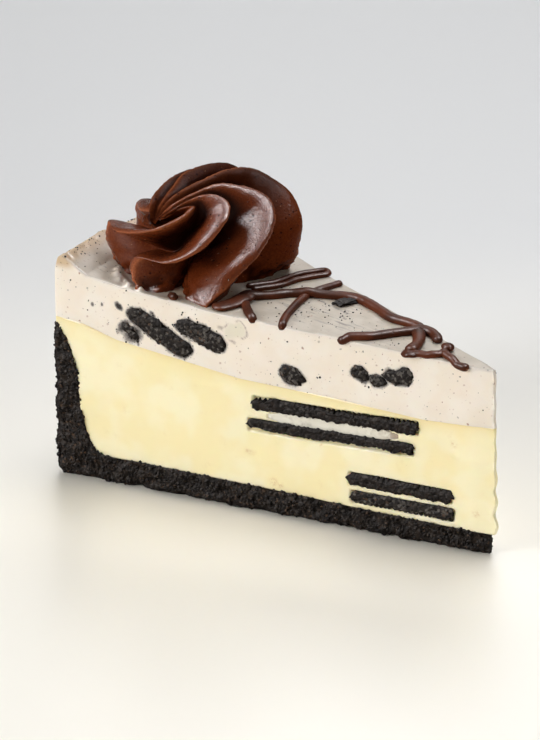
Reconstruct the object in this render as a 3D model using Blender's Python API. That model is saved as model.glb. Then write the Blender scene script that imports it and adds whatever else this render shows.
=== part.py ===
"""A slice of cookies and cream cheesecake, cut from a round cake.

The slice lies with its crust on Z = 0, its tip towards +X and its crust wall towards -X. The two cut
faces are the near one, towards -Y, and the far one, towards +Y. All sizes are in metres.
"""

import math
from typing import NamedTuple

import bmesh
import bpy
from mathutils import Vector, noise

# The cake and the cut
CAKE_RADIUS = 0.114
SLICE_ANGLE = math.radians(30.0)
HALF_ANGLE = SLICE_ANGLE / 2
TIP_X = CAKE_RADIUS / 2
TIP_BLUNT = 0.0006
TIP_START = 0.0010
GAP = 0.0003

# Heights over the ground
CRUST_WALL_TOP = 0.0392
FILLING_RADIUS = 0.1134
TIP_HEIGHT = 0.0462
RIM_HEIGHT = 0.0570
RIM_CREST_RADIUS = 0.1114

# Sandwich cookies baked into the filling
COOKIE_RADIUS = 0.0222
WAFER_THICKNESS = 0.0030
CREAM_THICKNESS = 0.0028
CREAM_INSET = 0.0058
WAFER_EMBOSS = 0.0004
WAFER_CELL = 0.0031
PROUD = 0.0001

# Chocolate drizzle
STRAND_WIDTH = 0.0027
STRAND_HEIGHT = 0.0017
POOL_WIDTH = 0.0046
STRAND_SIDES = 7
STRAND_STEP = 0.0038

# Frosting swirl
SWIRL_FROM_TIP = 0.0890
SWIRL_ROWS = 22
SWIRL_CELLS = 4
SWIRL_ROOT = 0.004
RIDGE_ROUNDING = 0.1

MM = 0.001
NEAR, FAR = -1, 1


def blend(points, x):
    """Height at x on the smooth line through the points, level beyond its ends."""
    if x <= points[0][0]:
        return points[0][1]
    for (x0, y0), (x1, y1) in zip(points, points[1:]):
        if x <= x1:
            share = (x - x0) / (x1 - x0)
            return y0 + (y1 - y0) * share * share * (3 - 2 * share)
    return points[-1][1]


def straight(points, x):
    """Value at x on the straight runs between the points, level beyond the ends."""
    if x <= points[0][0]:
        return points[0][1]
    for (x0, y0), (x1, y1) in zip(points, points[1:]):
        if x <= x1:
            return y0 + (y1 - y0) * (x - x0) / (x1 - x0)
    return points[-1][1]


def crumb(where, size, depth):
    """Even noise of one crumb size, from -depth to depth."""
    return depth * noise.noise(Vector(where) / size)


def filling_top(r):
    """Top of the baked filling at a distance from the tip: it climbs towards the crust wall."""
    return straight(FILLING_TOP_LINE, r)


FILLING_TOP_LINE = (
    (0.000, 0.0320),
    (0.018, 0.0312),
    (0.040, 0.0325),
    (0.065, 0.0333),
    (0.083, 0.0358),
    (0.097, 0.0376),
    (0.106, 0.0402),
    (0.114, 0.0412),
)

MOUSSE_TOP_LINE = (
    (0.000, TIP_HEIGHT),
    (0.024, 0.0472),
    (0.045, 0.0480),
    (0.070, 0.0489),
    (0.096, 0.0512),
    (0.105, 0.0528),
    (RIM_CREST_RADIUS, RIM_HEIGHT),
    (0.1128, 0.0560),
)

CRUST_TOP_LINE = (
    (0.000, 0.0054),
    (0.030, 0.0056),
    (0.056, 0.0063),
    (0.090, 0.0067),
)

CRUST_INNER_LINE = (
    (CRUST_TOP_LINE[-1][1], 0.1000),
    (0.0075, 0.1030),
    (0.0110, 0.1052),
    (0.0180, 0.1068),
    (0.0270, 0.1076),
    (0.0330, 0.1093),
    (CRUST_WALL_TOP, 0.1126),
)


def mousse_top(r, lateral=0.0):
    """Top of the mousse, with the raised and slightly uneven lip that the cake ring left."""
    lip = max(0.0, (r - 0.105) / (RIM_CREST_RADIUS - 0.105))
    wave = crumb((r, lateral, 0.3), 0.011, 0.0005) * min(1.0, lip)
    return straight(MOUSSE_TOP_LINE, r) + wave


def crust_top(r):
    """Top of the crust's pressed floor at a distance from the tip."""
    return straight(CRUST_TOP_LINE, r)


def crust_inner(z):
    """Radius of the crust wall's inner face at a height."""
    return straight(CRUST_INNER_LINE, z)


def filling_outer(z):
    """Radius of the filling's outer face before the crust is cut from it."""
    if z < CRUST_WALL_TOP:
        return min(FILLING_RADIUS, crust_inner(z) + 2 * GAP)
    return FILLING_RADIUS


def tip_reach(z):
    """How far the soft layers' tip is dragged past the crust's, with the ripples of the knife."""
    lean = 0.0020 * (1 - z / TIP_HEIGHT)
    return lean + 0.00055 * math.sin(z / 0.0021) * blend(((0.006, 1.0), (0.034, 0.2)), z)


def slice_point(r, share, z, near=0.0, far=0.0):
    """A point of the slice: r from the tip, share from the near face to the far one, z up.

    near and far push the two cut faces out.
    """
    angle = HALF_ANGLE * (2 * share - 1)
    lateral = r * math.sin(angle)
    lateral += -(TIP_BLUNT + near) * (1 - share) + (TIP_BLUNT + far) * share
    return Vector((TIP_X - r * math.cos(angle), lateral, z))


def on_face(side, along, z, inward=0.0):
    """A point of a cut face, along it from the tip, moved inward square to the face."""
    x = TIP_X - along * math.cos(HALF_ANGLE) - inward * math.sin(HALF_ANGLE)
    y = along * math.sin(HALF_ANGLE) - inward * math.cos(HALF_ANGLE) + TIP_BLUNT
    return Vector((x, side * y, z))


def material(name, colour, roughness):
    """A plain finish with one colour and roughness."""
    made = bpy.data.materials.new(name)
    made.use_nodes = True
    shader = made.node_tree.nodes["Principled BSDF"]
    shader.inputs["Base Color"].default_value = (*colour, 1.0)
    shader.inputs["Roughness"].default_value = roughness
    shader.inputs["Metallic"].default_value = 0.0
    made.diffuse_color = (*colour, 1.0)
    return made


def add_object(name, mesh_data, finish, collection=None):
    """Wraps a bmesh as a named object and frees it."""
    bmesh.ops.recalc_face_normals(mesh_data, faces=mesh_data.faces)
    mesh = bpy.data.meshes.new(name)
    mesh_data.to_mesh(mesh)
    mesh_data.free()
    mesh.materials.append(finish)
    made = bpy.data.objects.new(name, mesh)
    (collection or bpy.context.scene.collection).objects.link(made)
    return made


def block(counts, place):
    """The skin of a box with counts cells each way, each of its points moved by place(s, t, h)."""
    shell = bmesh.new()
    points = {}

    def corner(cell):
        if cell not in points:
            share = [cell[axis] / counts[axis] for axis in range(3)]
            points[cell] = shell.verts.new(place(*share))
        return points[cell]

    for axis in range(3):
        one, two = [other for other in range(3) if other != axis]
        for level in (0, counts[axis]):
            for i in range(counts[one]):
                for j in range(counts[two]):
                    ring = []
                    for di, dj in ((0, 0), (1, 0), (1, 1), (0, 1)):
                        cell = [0, 0, 0]
                        cell[axis], cell[one], cell[two] = level, i + di, j + dj
                        ring.append(corner(tuple(cell)))
                    shell.faces.new(ring)
    return shell


def through_face(counts, place, side):
    """A block whose first cells run straight out through a cut face, for a cutter."""
    s_cells, t_cells, h_cells = counts
    out = Vector((math.sin(HALF_ANGLE), side * math.cos(HALF_ANGLE), 0.0)) * 0.004

    def carried(s, t, h):
        if t == 0:
            return place(s, 0.0, h) + out
        return place(s, (t * (t_cells + 1) - 1) / t_cells, h)

    return block((s_cells, t_cells + 1, h_cells), carried)


def boolean(target, operation, collection):
    """Joins a collection's solids to the target, or cuts them from it, and applies the result."""
    modifier = target.modifiers.new(operation.lower(), "BOOLEAN")
    modifier.operation = operation
    modifier.operand_type = "COLLECTION"
    modifier.collection = collection
    modifier.solver = "EXACT"
    graph = bpy.context.evaluated_depsgraph_get()
    mesh = bpy.data.meshes.new_from_object(target.evaluated_get(graph))
    target.modifiers.clear()
    target.data = mesh
    for helper in list(collection.objects):
        bpy.data.objects.remove(helper)
    bpy.data.collections.remove(collection)


def helper_collection(name):
    """A collection for solids that a Boolean uses up."""
    made = bpy.data.collections.new(name)
    bpy.context.scene.collection.children.link(made)
    return made


# Crust


CRUST_CELLS = 33
FLOOR_CELLS = 21
ACROSS_CELLS = 8


def crust_path(s):
    """Inner and outer points (r, z) of the crust's section, from the tip round to the wall's top."""
    floor_share = FLOOR_CELLS / CRUST_CELLS
    if s <= floor_share + 1e-9:
        r = TIP_START + (CRUST_INNER_LINE[0][1] - TIP_START) * s / floor_share
        outer = TIP_START + (CAKE_RADIUS - 0.0020 - TIP_START) * s / floor_share
        return (r, crust_top(r)), (outer, 0.0)
    climb = (s - floor_share) / (1 - floor_share)
    foot = crust_top(CAKE_RADIUS)
    z = foot + (CRUST_WALL_TOP - foot) * climb
    low = 0.0015 + (CRUST_WALL_TOP - 0.0015) * climb
    return (crust_inner(z), z), (CAKE_RADIUS - 0.0002, low)


def crust_point(s, t, h, grow=0.0):
    """The crust: a pressed floor and a wall that thins as it climbs, crumbly where it is cut.

    grow swells it into the cutter that clears it from the filling.
    """
    inner, outer = crust_path(s)
    if grow:
        beyond = 0.003 if s > FLOOR_CELLS / CRUST_CELLS else 0.0
        inner = (inner[0] - grow, inner[1] + grow)
        outer = (outer[0] + beyond, outer[1] + (grow if s == 1 else 0.0))
    r = outer[0] + (inner[0] - outer[0]) * h
    z = outer[1] + (inner[1] - outer[1]) * h
    calm = min(1.0, 0.25 + r / 0.012)
    near = calm * (crumb((r, z, 1.7), 0.0029, 0.0009) + 0.0002)
    far = calm * (crumb((r, z, 8.3), 0.0029, 0.0009) + 0.0002)
    if grow:
        near = far = 0.003 * max(0.0, 1 - r / 0.080)
        t = -0.08 + 1.16 * t
    elif h == 0 and s > FLOOR_CELLS / CRUST_CELLS:
        r += crumb((z, t * 0.06, 4.1), 0.0035, 0.0007) - 0.0004
    return slice_point(r - (0.003 if grow and s == 0 else 0.0), t, z, near, far)


# Baked filling and the mousse on it


def toward_rim(s):
    """Spreads cells along the slice, closer together near the rim."""
    return straight(((0.0, 0.0), (0.64, 0.86), (1.0, 1.0)), s)


def filling_point(s, t, h):
    """The baked filling, between the crust and the mousse."""
    s, r = toward_rim(s), 0.0
    for _ in range(4):
        low, high = crust_top(r), filling_top(r) - GAP / 2
        z = low + (high - low) * h
        r = TIP_START + (filling_outer(z) - TIP_START) * s
    near = crumb((r, z, 5.5), 0.012, 0.00025)
    far = crumb((r, z, 2.5), 0.012, 0.00025)
    point = slice_point(r, t, z, near, far)
    point.x += tip_reach(z) * max(0.0, 1 - r / 0.012)
    return point


def mousse_radius(z):
    """Radius of the mousse's outer face, which rounds over at the lip."""
    return FILLING_RADIUS - blend(((0.0520, 0.0), (RIM_HEIGHT, 0.0008)), z)


def mousse_point(s, t, h, lift=0.0, widen=0.0):
    """The mousse with its lip. lift and widen grow it into a cutter for what rests on it."""
    s, r = toward_rim(s), TIP_START
    for _ in range(4):
        high = mousse_top(r, t * 0.06) + lift
        low = filling_top(r) + GAP / 2
        z = low + (high - low) * h
        r = TIP_START + (mousse_radius(z) + widen - TIP_START) * s
    near = crumb((r, z, 9.5), 0.009, 0.0002) + widen
    far = crumb((r, z, 6.5), 0.009, 0.0002) + widen
    point = slice_point(r, t, z, near, far)
    point.x += tip_reach(z) * max(0.0, 1 - r / 0.012)
    return point


# Sandwich cookies cut by the knife


class Cookie(NamedTuple):
    """A sandwich cookie that a cut face runs through, with its centre outside the slice.

    side is the cut face, along the middle of its chord there from the tip, chord that chord's length,
    middle its height over the ground, spread the space between its wafers, and lean its slope.
    """

    name: str
    side: int
    along: float
    chord: float
    middle: float
    spread: float
    lean: float


# The low cookie is cut near its rim, outside its cream
COOKIES = (
    Cookie("middle_cookie", NEAR, 0.0408, 0.0425, 0.0251, CREAM_THICKNESS, 0.0),
    Cookie("low_cookie", NEAR, 0.0230, 0.0265, 0.0107, 0.0010, 0.0),
    Cookie("far_cookie", FAR, 0.0690, 0.0390, 0.0205, CREAM_THICKNESS, 0.03),
)


def disc_segment(cookie, radius, low, high, emboss, grow=0.0):
    """One round layer of a cookie, cut off by the cut face, as a place function for block.

    emboss is the raised pattern's depth on the face towards high, or towards low where it is negative.
    grow swells the layer into a cutter.
    """
    beyond = math.sqrt(COOKIE_RADIUS**2 - (cookie.chord / 2) ** 2)
    outer = radius + grow
    half_chord = math.sqrt(outer**2 - beyond**2)
    end = math.acos(beyond / outer)
    last = 0.68 * end

    def place(s, t, h):
        spread = 2 * s - 1
        rim, side_turn = last * spread, end + (last - end) * t
        # Shared out between the chord, the rim and the two ends
        x = (1 - t) * half_chord * spread + t * outer * math.sin(rim) + outer * math.sin(side_turn) * spread
        x -= (1 - t) * half_chord * spread + t * outer * math.sin(last) * spread
        deep = t * outer * (math.cos(rim) - math.cos(last)) + outer * math.cos(side_turn) - beyond
        z = low - grow + (high - low + 2 * grow) * h - cookie.lean * x
        raised = abs(emboss) * (0.5 + 0.5 * math.cos(x / 0.00062) * math.cos(deep / 0.0008))
        if emboss > 0 and h == 1:
            z += raised
        if emboss < 0 and h == 0:
            z -= raised
        if t == 0 and not grow:
            deep -= PROUD + abs(crumb((x, z, cookie.along), 0.0016, 0.0006))
        return on_face(cookie.side, cookie.along + x, z, deep)

    return place


def sandwich_cookie(cookie, cutters, wafer, cream):
    """Two embossed wafers and the cream between them, and the cutters that make room for them."""
    half = cookie.spread / 2
    layers = (
        ("upper_wafer", half + GAP, half + GAP + WAFER_THICKNESS, COOKIE_RADIUS, WAFER_EMBOSS, wafer),
        ("cream", -half, half, COOKIE_RADIUS - CREAM_INSET, 0.0, cream),
        ("lower_wafer", -half - GAP - WAFER_THICKNESS, -half - GAP, COOKIE_RADIUS, -WAFER_EMBOSS, wafer),
    )
    cells = (round(cookie.chord / WAFER_CELL), 2, 2)
    beyond = math.sqrt(COOKIE_RADIUS**2 - (cookie.chord / 2) ** 2)
    for layer, low, high, radius, emboss, finish in layers:
        if radius <= beyond:
            continue
        low, high = cookie.middle + low, cookie.middle + high
        place = disc_segment(cookie, radius, low, high, emboss)
        add_object(f"{cookie.name}_{layer}", block(cells, place), finish)
        room = disc_segment(cookie, radius, low, high, emboss, GAP)
        add_object(f"{cookie.name}_room", through_face(cells, room, cookie.side), finish, cutters)


# Broken cookie pieces in the mousse


class Piece(NamedTuple):
    """A broken wafer piece that shows at a cut face.

    side is the cut face. along and z are its middle there, from the tip and over the ground. depth is
    its reach into the slice, tilt its turn on the face, and seed its own ragged shape.
    """

    name: str
    side: int
    along: float
    z: float
    length: float
    height: float
    depth: float
    tilt: float
    seed: float


PIECES = (
    Piece("long_piece", NEAR, 0.0856, 0.0416, 0.0180, 0.0046, 0.007, 0.50, 1.4),
    Piece("short_piece", NEAR, 0.0748, 0.0425, 0.0132, 0.0046, 0.006, 0.33, 2.2),
    Piece("round_piece", NEAR, 0.0511, 0.0365, 0.0063, 0.0050, 0.004, 0.35, 3.3),
    Piece("left_bit", NEAR, 0.0337, 0.0397, 0.0047, 0.0034, 0.003, 0.5, 4.4),
    Piece("middle_bit", NEAR, 0.0293, 0.0388, 0.0042, 0.0028, 0.003, 0.1, 5.5),
    Piece("right_bit", NEAR, 0.0243, 0.0408, 0.0066, 0.0043, 0.004, -0.1, 6.6),
    Piece("smeared_piece", NEAR, 0.0935, 0.0401, 0.0050, 0.0034, 0.003, 0.4, 7.7),
    Piece("far_long_piece", FAR, 0.0560, 0.0398, 0.0150, 0.0042, 0.006, 0.3, 8.8),
    Piece("far_round_piece", FAR, 0.0880, 0.0438, 0.0060, 0.0050, 0.004, 0.0, 9.9),
)


def broken_piece(piece, cutters, finish):
    """A broken wafer piece, and the cutter that makes room for it in the mousse."""

    def place_with(grow):
        def place(s, t, h):
            a, b = 2 * s - 1, 2 * h - 1
            round_off = 1 - 0.24 * a * a * b * b - 0.16 * (a * a + b * b) / 2
            ragged = 1 + crumb((a * 2.1, b * 2.1, piece.seed + t), 1.0, 0.22)
            x = a * (piece.length / 2 + grow) * round_off * ragged
            up = b * (piece.height / 2 + grow) * round_off * ragged
            taper = 1 - 0.35 * t
            inward = t * (piece.depth + grow)
            if t == 0 and not grow:
                inward -= PROUD + abs(crumb((x, up, piece.seed), 0.0015, 0.0005))
            turned_x = (x * math.cos(piece.tilt) - up * math.sin(piece.tilt)) * taper
            turned_z = (x * math.sin(piece.tilt) + up * math.cos(piece.tilt)) * taper
            return on_face(piece.side, piece.along + turned_x, piece.z + turned_z, inward)

        return place

    cells = (max(3, round(piece.length / 0.002)), 2, max(2, round(piece.height / 0.0018)))
    add_object(piece.name, block(cells, place_with(0.0)), finish)
    add_object(f"{piece.name}_room", through_face(cells, place_with(GAP), piece.side), finish, cutters)


def top_crumb(name, x, y, size, cutters, finish):
    """A wafer crumb half sunk in the top of the mousse, and its cutter. size is length, width, height."""
    ground = mousse_top(math.hypot(TIP_X - x, y))
    turn = math.radians(72.0)

    def place_with(grow):
        def place(s, t, h):
            a, b, c = 2 * s - 1, 2 * t - 1, 2 * h - 1
            soft = 1 - 0.12 * (a * a * b * b + b * b * c * c + a * a * c * c)
            ragged = 1 + crumb((a, b, c + 3.3), 1.0, 0.15)
            along = a * (size[0] / 2 + grow) * soft * ragged
            across = b * (size[1] / 2 + grow) * soft * ragged
            px = x + along * math.cos(turn) - across * math.sin(turn)
            py = y + along * math.sin(turn) + across * math.cos(turn)
            up = c * (size[2] / 2 + grow) * soft
            if grow and h == 1:
                up += 0.002
            return Vector((px, py, ground + up + 0.0002))

        return place

    add_object(name, block((4, 3, 2), place_with(0.0)), finish)
    add_object(f"{name}_room", block((4, 3, 2), place_with(GAP)), finish, cutters)


# Drizzle, as runs of points in millimetres: from the tip along the slice, and across it

DRIZZLE_RUNS = {
    "hairpin": ((72.0, 5.0), (71.2, 11.0), (69.0, 17.0), (65.5, 16.5), (66.0, 12.0)),
    "main": (
        (72.5, -3.0),
        (67.5, 1.5),
        (61.0, 7.2),
        (56.0, 10.8),
        (50.0, 12.0),
        (43.0, 10.4),
        (34.5, 7.8),
        (27.5, 6.0),
        (21.5, 4.0),
    ),
    "crossing": ((52.0, -13.4), (55.5, -8.0), (59.2, 0.4), (60.9, 7.0), (60.4, 11.2), (59.8, 15.5)),
    "return": ((38.4, -9.6), (35.9, -6.0), (32.6, 0.0), (30.2, 4.8), (26.2, 6.0)),
    "drop": ((28.4, 6.0), (24.2, 2.6), (21.6, -2.0), (22.2, -5.0)),
    "last": ((21.6, -5.0), (19.0, -3.4), (16.6, -0.6), (17.0, 3.0)),
    "tail": ((16.0, 1.2), (11.4, -0.8), (6.2, -1.0)),
    "drip": ((69.0, -8.5), (64.0, -12.2), (60.0, -15.2)),
    "pool": ((71.5, -16.6), (70.5, -11.0), (69.0, -6.0), (69.0, -1.0)),
}


def curve_through(points, count):
    """count steps along the smooth curve through a run of points."""
    points = [Vector(point) * MM for point in points]
    ends = [2 * points[0] - points[1], *points, 2 * points[-1] - points[-2]]
    knots = [0.0]
    for one, two in zip(ends, ends[1:]):
        knots.append(knots[-1] + (two - one).length ** 0.8)
    found = []
    for i in range(count + 1):
        at = knots[1] + (knots[-2] - knots[1]) * i / count
        k = 1
        while k < len(points) - 1 and knots[k + 1] < at:
            k += 1
        before, start, stop, after = ends[k - 1 : k + 3]
        span = knots[k + 1] - knots[k]
        s = (at - knots[k]) / span
        leave = (stop - before) * span / (knots[k + 1] - knots[k - 1])
        arrive = (after - start) * span / (knots[k + 2] - knots[k])
        rise = s * s * (3 - 2 * s)
        found.append(start + (stop - start) * rise + leave * s * (1 - s) ** 2 - arrive * s * s * (1 - s))
    return found


def strand(name, finish, collection, level, grow=0.0):
    """A round-ended strand of chocolate that follows the top of the mousse. grow swells a cutter."""
    run = DRIZZLE_RUNS[name]
    length = sum(math.dist(one, two) for one, two in zip(run, run[1:])) * MM
    line = curve_through(run, max(2, round(length / STRAND_STEP)))
    half_width = (POOL_WIDTH if name == "pool" else STRAND_WIDTH) / 2 + grow
    shell = bmesh.new()
    rings = []
    for i, (from_tip, lateral) in enumerate(line):
        before, after = line[max(0, i - 1)], line[min(len(line) - 1, i + 1)]
        way = Vector((before.x - after.x, after.y - before.y)).normalized()
        across = Vector((-way.y, way.x))
        at_end = i in (0, len(line) - 1)
        thick = 0.62 if at_end and not grow else 1.0
        ground = mousse_top(math.hypot(from_tip, lateral)) + level
        ring = []
        for k in range(STRAND_SIDES):
            turn = 2 * math.pi * (k + 0.25) / STRAND_SIDES
            side = math.cos(turn) * half_width * thick
            up = math.sin(turn) * (STRAND_HEIGHT / 2 + grow) * thick
            if turn >= math.pi:
                up *= 1.3
            point = (TIP_X - from_tip + across.x * side, lateral + across.y * side, ground + up)
            ring.append(shell.verts.new(point))
        rings.append(ring)
    for one, two in zip(rings, rings[1:]):
        for k in range(STRAND_SIDES):
            j = (k + 1) % STRAND_SIDES
            shell.faces.new((one[k], one[j], two[j], two[k]))
    shell.faces.new(rings[0])
    shell.faces.new(rings[-1])
    add_object(f"drizzle_{name}", shell, finish, collection)


# Frosting swirl, piped through a star tip: its ridges climb from their feet and turn into the eye.
# Points are in millimetres from the middle of its base.

SWIRL_EYE = (-0.8, -15.8, 14.5)
SWIRL_EYE_RADIUS = 1.55


class Ridge(NamedTuple):
    """A ridge's points from its foot up, and the valley after it, counter-clockwise.

    The valley's depth is a share of its width, at the foot and higher up. turn is where in the gap the
    valley is deepest. eye_turn is the ridge's bearing round the eye, in degrees.
    """

    points: tuple
    foot_depth: float
    depth: float
    turn: float
    eye_turn: float


SWIRL_RIDGES = (
    Ridge(
        (
            (-15.0, -15.5, 3.0),
            (-15.8, -17.0, 8.4),
            (-14.5, -17.1, 12.2),
            (-8.4, -21.1, 12.4),
            (3.0, -21.0, 15.0),
            (8.5, -16.5, 18.3),
            (9.0, -13.3, 20.2),
            (5.6, -13.8, 19.1),
            (2.0, -15.0, 16.5),
        ),
        foot_depth=0.24,
        depth=0.31,
        turn=0.74,
        eye_turn=77.0,
    ),
    Ridge(
        (
            (1.0, -23.6, -1.5),
            (-1.0, -24.0, 4.0),
            (1.0, -23.6, 8.2),
            (9.0, -21.8, 8.6),
            (14.5, -17.6, 11.8),
            (16.4, -10.0, 17.6),
            (14.0, -6.2, 20.6),
            (9.5, -8.0, 22.2),
            (6.8, -12.0, 21.3),
            (4.0, -15.5, 18.8),
        ),
        foot_depth=0.55,
        depth=0.36,
        turn=0.46,
        eye_turn=88.0,
    ),
    Ridge(
        (
            (17.0, -15.0, -1.3),
            (19.5, -11.0, 3.6),
            (22.5, -5.0, 9.5),
            (20.7, 2.8, 15.4),
            (15.5, 5.5, 19.8),
            (8.8, -2.4, 23.3),
            (6.2, -10.3, 22.3),
            (3.4, -15.1, 19.8),
        ),
        foot_depth=0.45,
        depth=0.40,
        turn=0.42,
        eye_turn=101.0,
    ),
    Ridge(
        (
            (12.5, 14.0, -1.0),
            (17.0, 15.0, 3.5),
            (17.0, 17.0, 11.0),
            (12.0, 18.0, 16.6),
            (4.0, 14.5, 21.3),
            (4.2, 5.8, 23.8),
            (4.6, -5.0, 24.0),
            (3.6, -10.5, 22.9),
            (1.9, -14.7, 20.4),
        ),
        foot_depth=0.40,
        depth=0.45,
        turn=0.45,
        eye_turn=114.0,
    ),
    Ridge(
        (
            (-4.0, 19.5, 0.0),
            (-3.0, 22.0, 6.5),
            (-2.0, 19.5, 15.0),
            (-2.0, 9.6, 22.6),
            (-1.4, -4.5, 24.3),
            (0.2, -11.0, 22.6),
            (0.3, -14.7, 20.2),
        ),
        foot_depth=0.40,
        depth=0.40,
        turn=0.48,
        eye_turn=128.0,
    ),
    Ridge(
        (
            (-17.5, 11.0, 2.5),
            (-20.0, 11.5, 8.0),
            (-15.0, 10.0, 15.5),
            (-6.5, 3.0, 21.6),
            (-3.2, -8.0, 23.3),
            (-2.9, -13.8, 21.0),
            (-2.4, -16.2, 18.4),
        ),
        foot_depth=0.40,
        depth=0.40,
        turn=0.50,
        eye_turn=150.0,
    ),
    Ridge(
        (
            (-20.5, -4.0, 3.5),
            (-22.0, -3.0, 8.0),
            (-19.8, -2.0, 11.8),
            (-13.0, -8.0, 14.6),
            (-5.3, -12.1, 15.2),
            (-6.9, -13.8, 13.3),
        ),
        foot_depth=0.45,
        depth=0.49,
        turn=0.50,
        eye_turn=214.0,
    ),
)


def swirl_valley(share, turn, foot):
    """Depth of the valley across a gap, 1 where it is deepest. foot is 1 at the base and 0 higher up."""
    if share < turn:
        x = share / turn
        rounded = math.hypot(x, RIDGE_ROUNDING) - RIDGE_ROUNDING
        return (rounded / (math.hypot(1, RIDGE_ROUNDING) - RIDGE_ROUNDING)) ** (1.35 + 1.3 * foot)
    return ((1 - share) / (1 - turn)) ** (2.6 + 0.2 * foot)


def swirl_rings():
    """Rings of points round the swirl, from its feet to its eye."""
    eye = Vector(SWIRL_EYE)
    eye_side, eye_up = Vector((1.0, 0.0, 0.0)), Vector((0.0, 0.66, 0.75))
    curves = []
    for ridge in SWIRL_RIDGES:
        bearing = math.radians(ridge.eye_turn)
        end = eye + (eye_side * math.cos(bearing) + eye_up * math.sin(bearing)) * SWIRL_EYE_RADIUS
        curves.append(curve_through((*ridge.points, end), SWIRL_ROWS))
    low, high = Vector((0.0, 0.0, 4.0)) * MM, (eye + Vector((1.5, 7.0, -7.0))) * MM
    rings = []
    for row in range(SWIRL_ROWS + 1):
        up = row / SWIRL_ROWS
        core = low.lerp(high, up)
        foot = max(0.0, 1 - up / 0.2)
        ring = []
        for ridge, start, stop in zip(SWIRL_RIDGES, curves, curves[1:] + curves[:1]):
            gap = (stop[row] - start[row]).length
            depth = (ridge.depth + (ridge.foot_depth - ridge.depth) * foot) * (1 - 0.66 * up**4)
            for cell in range(2 * SWIRL_CELLS):
                share = straight(((0, 0), (SWIRL_CELLS, ridge.turn), (2 * SWIRL_CELLS, 1)), cell)
                point = start[row].lerp(stop[row], share)
                inward = (core - point).normalized()
                ring.append(point + inward * depth * gap * swirl_valley(share, ridge.turn, foot))
        rings.append(ring)
    return rings


def frosting_swirl(finish):
    """The piped swirl, cut off at the mousse and clear of the drizzle."""
    middle = Vector((TIP_X - SWIRL_FROM_TIP, 0.0, mousse_top(SWIRL_FROM_TIP)))
    rings = swirl_rings()
    root = [point - Vector((0.0, 0.0, SWIRL_ROOT)) for point in rings[0]]
    shell = bmesh.new()
    rings = [[shell.verts.new(middle + point) for point in ring] for ring in (root, *rings)]
    for one, two in zip(rings, rings[1:]):
        for i in range(len(one)):
            j = (i + 1) % len(one)
            shell.faces.new((one[i], one[j], two[j], two[i]))
    base = shell.verts.new(middle - Vector((0.0, 0.0, SWIRL_ROOT)))
    eye = shell.verts.new(middle + Vector(SWIRL_EYE) * MM)
    for ring, pole in ((rings[0], base), (rings[-1], eye)):
        for i in range(len(ring)):
            shell.faces.new((ring[i], ring[(i + 1) % len(ring)], pole))
    swirl = add_object("frosting_swirl", shell, finish)
    ground = helper_collection("swirl_ground")
    grown = block((25, ACROSS_CELLS, 1), lambda s, t, h: mousse_point(s, t, h, GAP, 0.006))
    add_object("mousse_grown", grown, finish, ground)
    for number, name in enumerate(DRIZZLE_RUNS):
        strand(name, finish, ground, strand_level(number), GAP)
    boolean(swirl, "DIFFERENCE", ground)


def strand_level(number):
    """Height of a strand's middle over the mousse; where two cross, the later one lies higher."""
    return 0.0002 + 0.00004 * number


def build():
    """Clears the scene and builds every piece of the slice."""
    for old in list(bpy.data.objects):
        bpy.data.objects.remove(old)
    crust_finish = material("crumb crust", (0.020, 0.014, 0.012), 0.85)
    filling_finish = material("baked filling", (0.93, 0.83, 0.55), 0.45)
    mousse_finish = material("cookies and cream mousse", (0.86, 0.80, 0.72), 0.45)
    wafer_finish = material("chocolate wafer", (0.018, 0.013, 0.012), 0.85)
    cream_finish = material("wafer cream", (0.85, 0.84, 0.78), 0.5)
    frosting_finish = material("chocolate frosting", (0.115, 0.032, 0.015), 0.3)

    add_object("crust", block((CRUST_CELLS, ACROSS_CELLS, 2), crust_point), crust_finish)

    filling = add_object("filling", block((20, 6, 7), filling_point), filling_finish)
    crust_room = helper_collection("crust_room")
    grown = block((CRUST_CELLS, ACROSS_CELLS, 1), lambda s, t, h: crust_point(s, t, h, GAP))
    add_object("crust_grown", grown, crust_finish, crust_room)
    boolean(filling, "DIFFERENCE", crust_room)
    filling_rooms = helper_collection("filling_rooms")
    for cookie in COOKIES:
        sandwich_cookie(cookie, filling_rooms, wafer_finish, cream_finish)
    boolean(filling, "DIFFERENCE", filling_rooms)

    mousse = add_object("mousse", block((25, ACROSS_CELLS, 3), mousse_point), mousse_finish)
    mousse_rooms = helper_collection("mousse_rooms")
    for piece in PIECES:
        broken_piece(piece, mousse_rooms, wafer_finish)
    top_crumb("top_piece", TIP_X - 0.0498, 0.0070, (0.0062, 0.0034, 0.0018), mousse_rooms, wafer_finish)
    strands = helper_collection("strands")
    for number, name in enumerate(DRIZZLE_RUNS):
        strand(name, frosting_finish, strands, strand_level(number))
    boolean(mousse, "UNION", strands)
    boolean(mousse, "DIFFERENCE", mousse_rooms)

    frosting_swirl(frosting_finish)


build()
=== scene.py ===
"""Looks of a slice of cookies and cream cheesecake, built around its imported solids.

The slice lies with its crust on Z = 0, its tip towards +X and its crust wall towards -X. The near cut
face looks towards -Y. Sizes are in metres unless a name says otherwise.
"""

import logging
import math
from dataclasses import dataclass
from enum import Enum
from typing import Callable, NamedTuple, Optional, Sequence

import bmesh
import bpy
from bpy.types import Material, Mesh, Node, NodeSocket, NodeTree, Object
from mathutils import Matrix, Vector, noise


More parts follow.
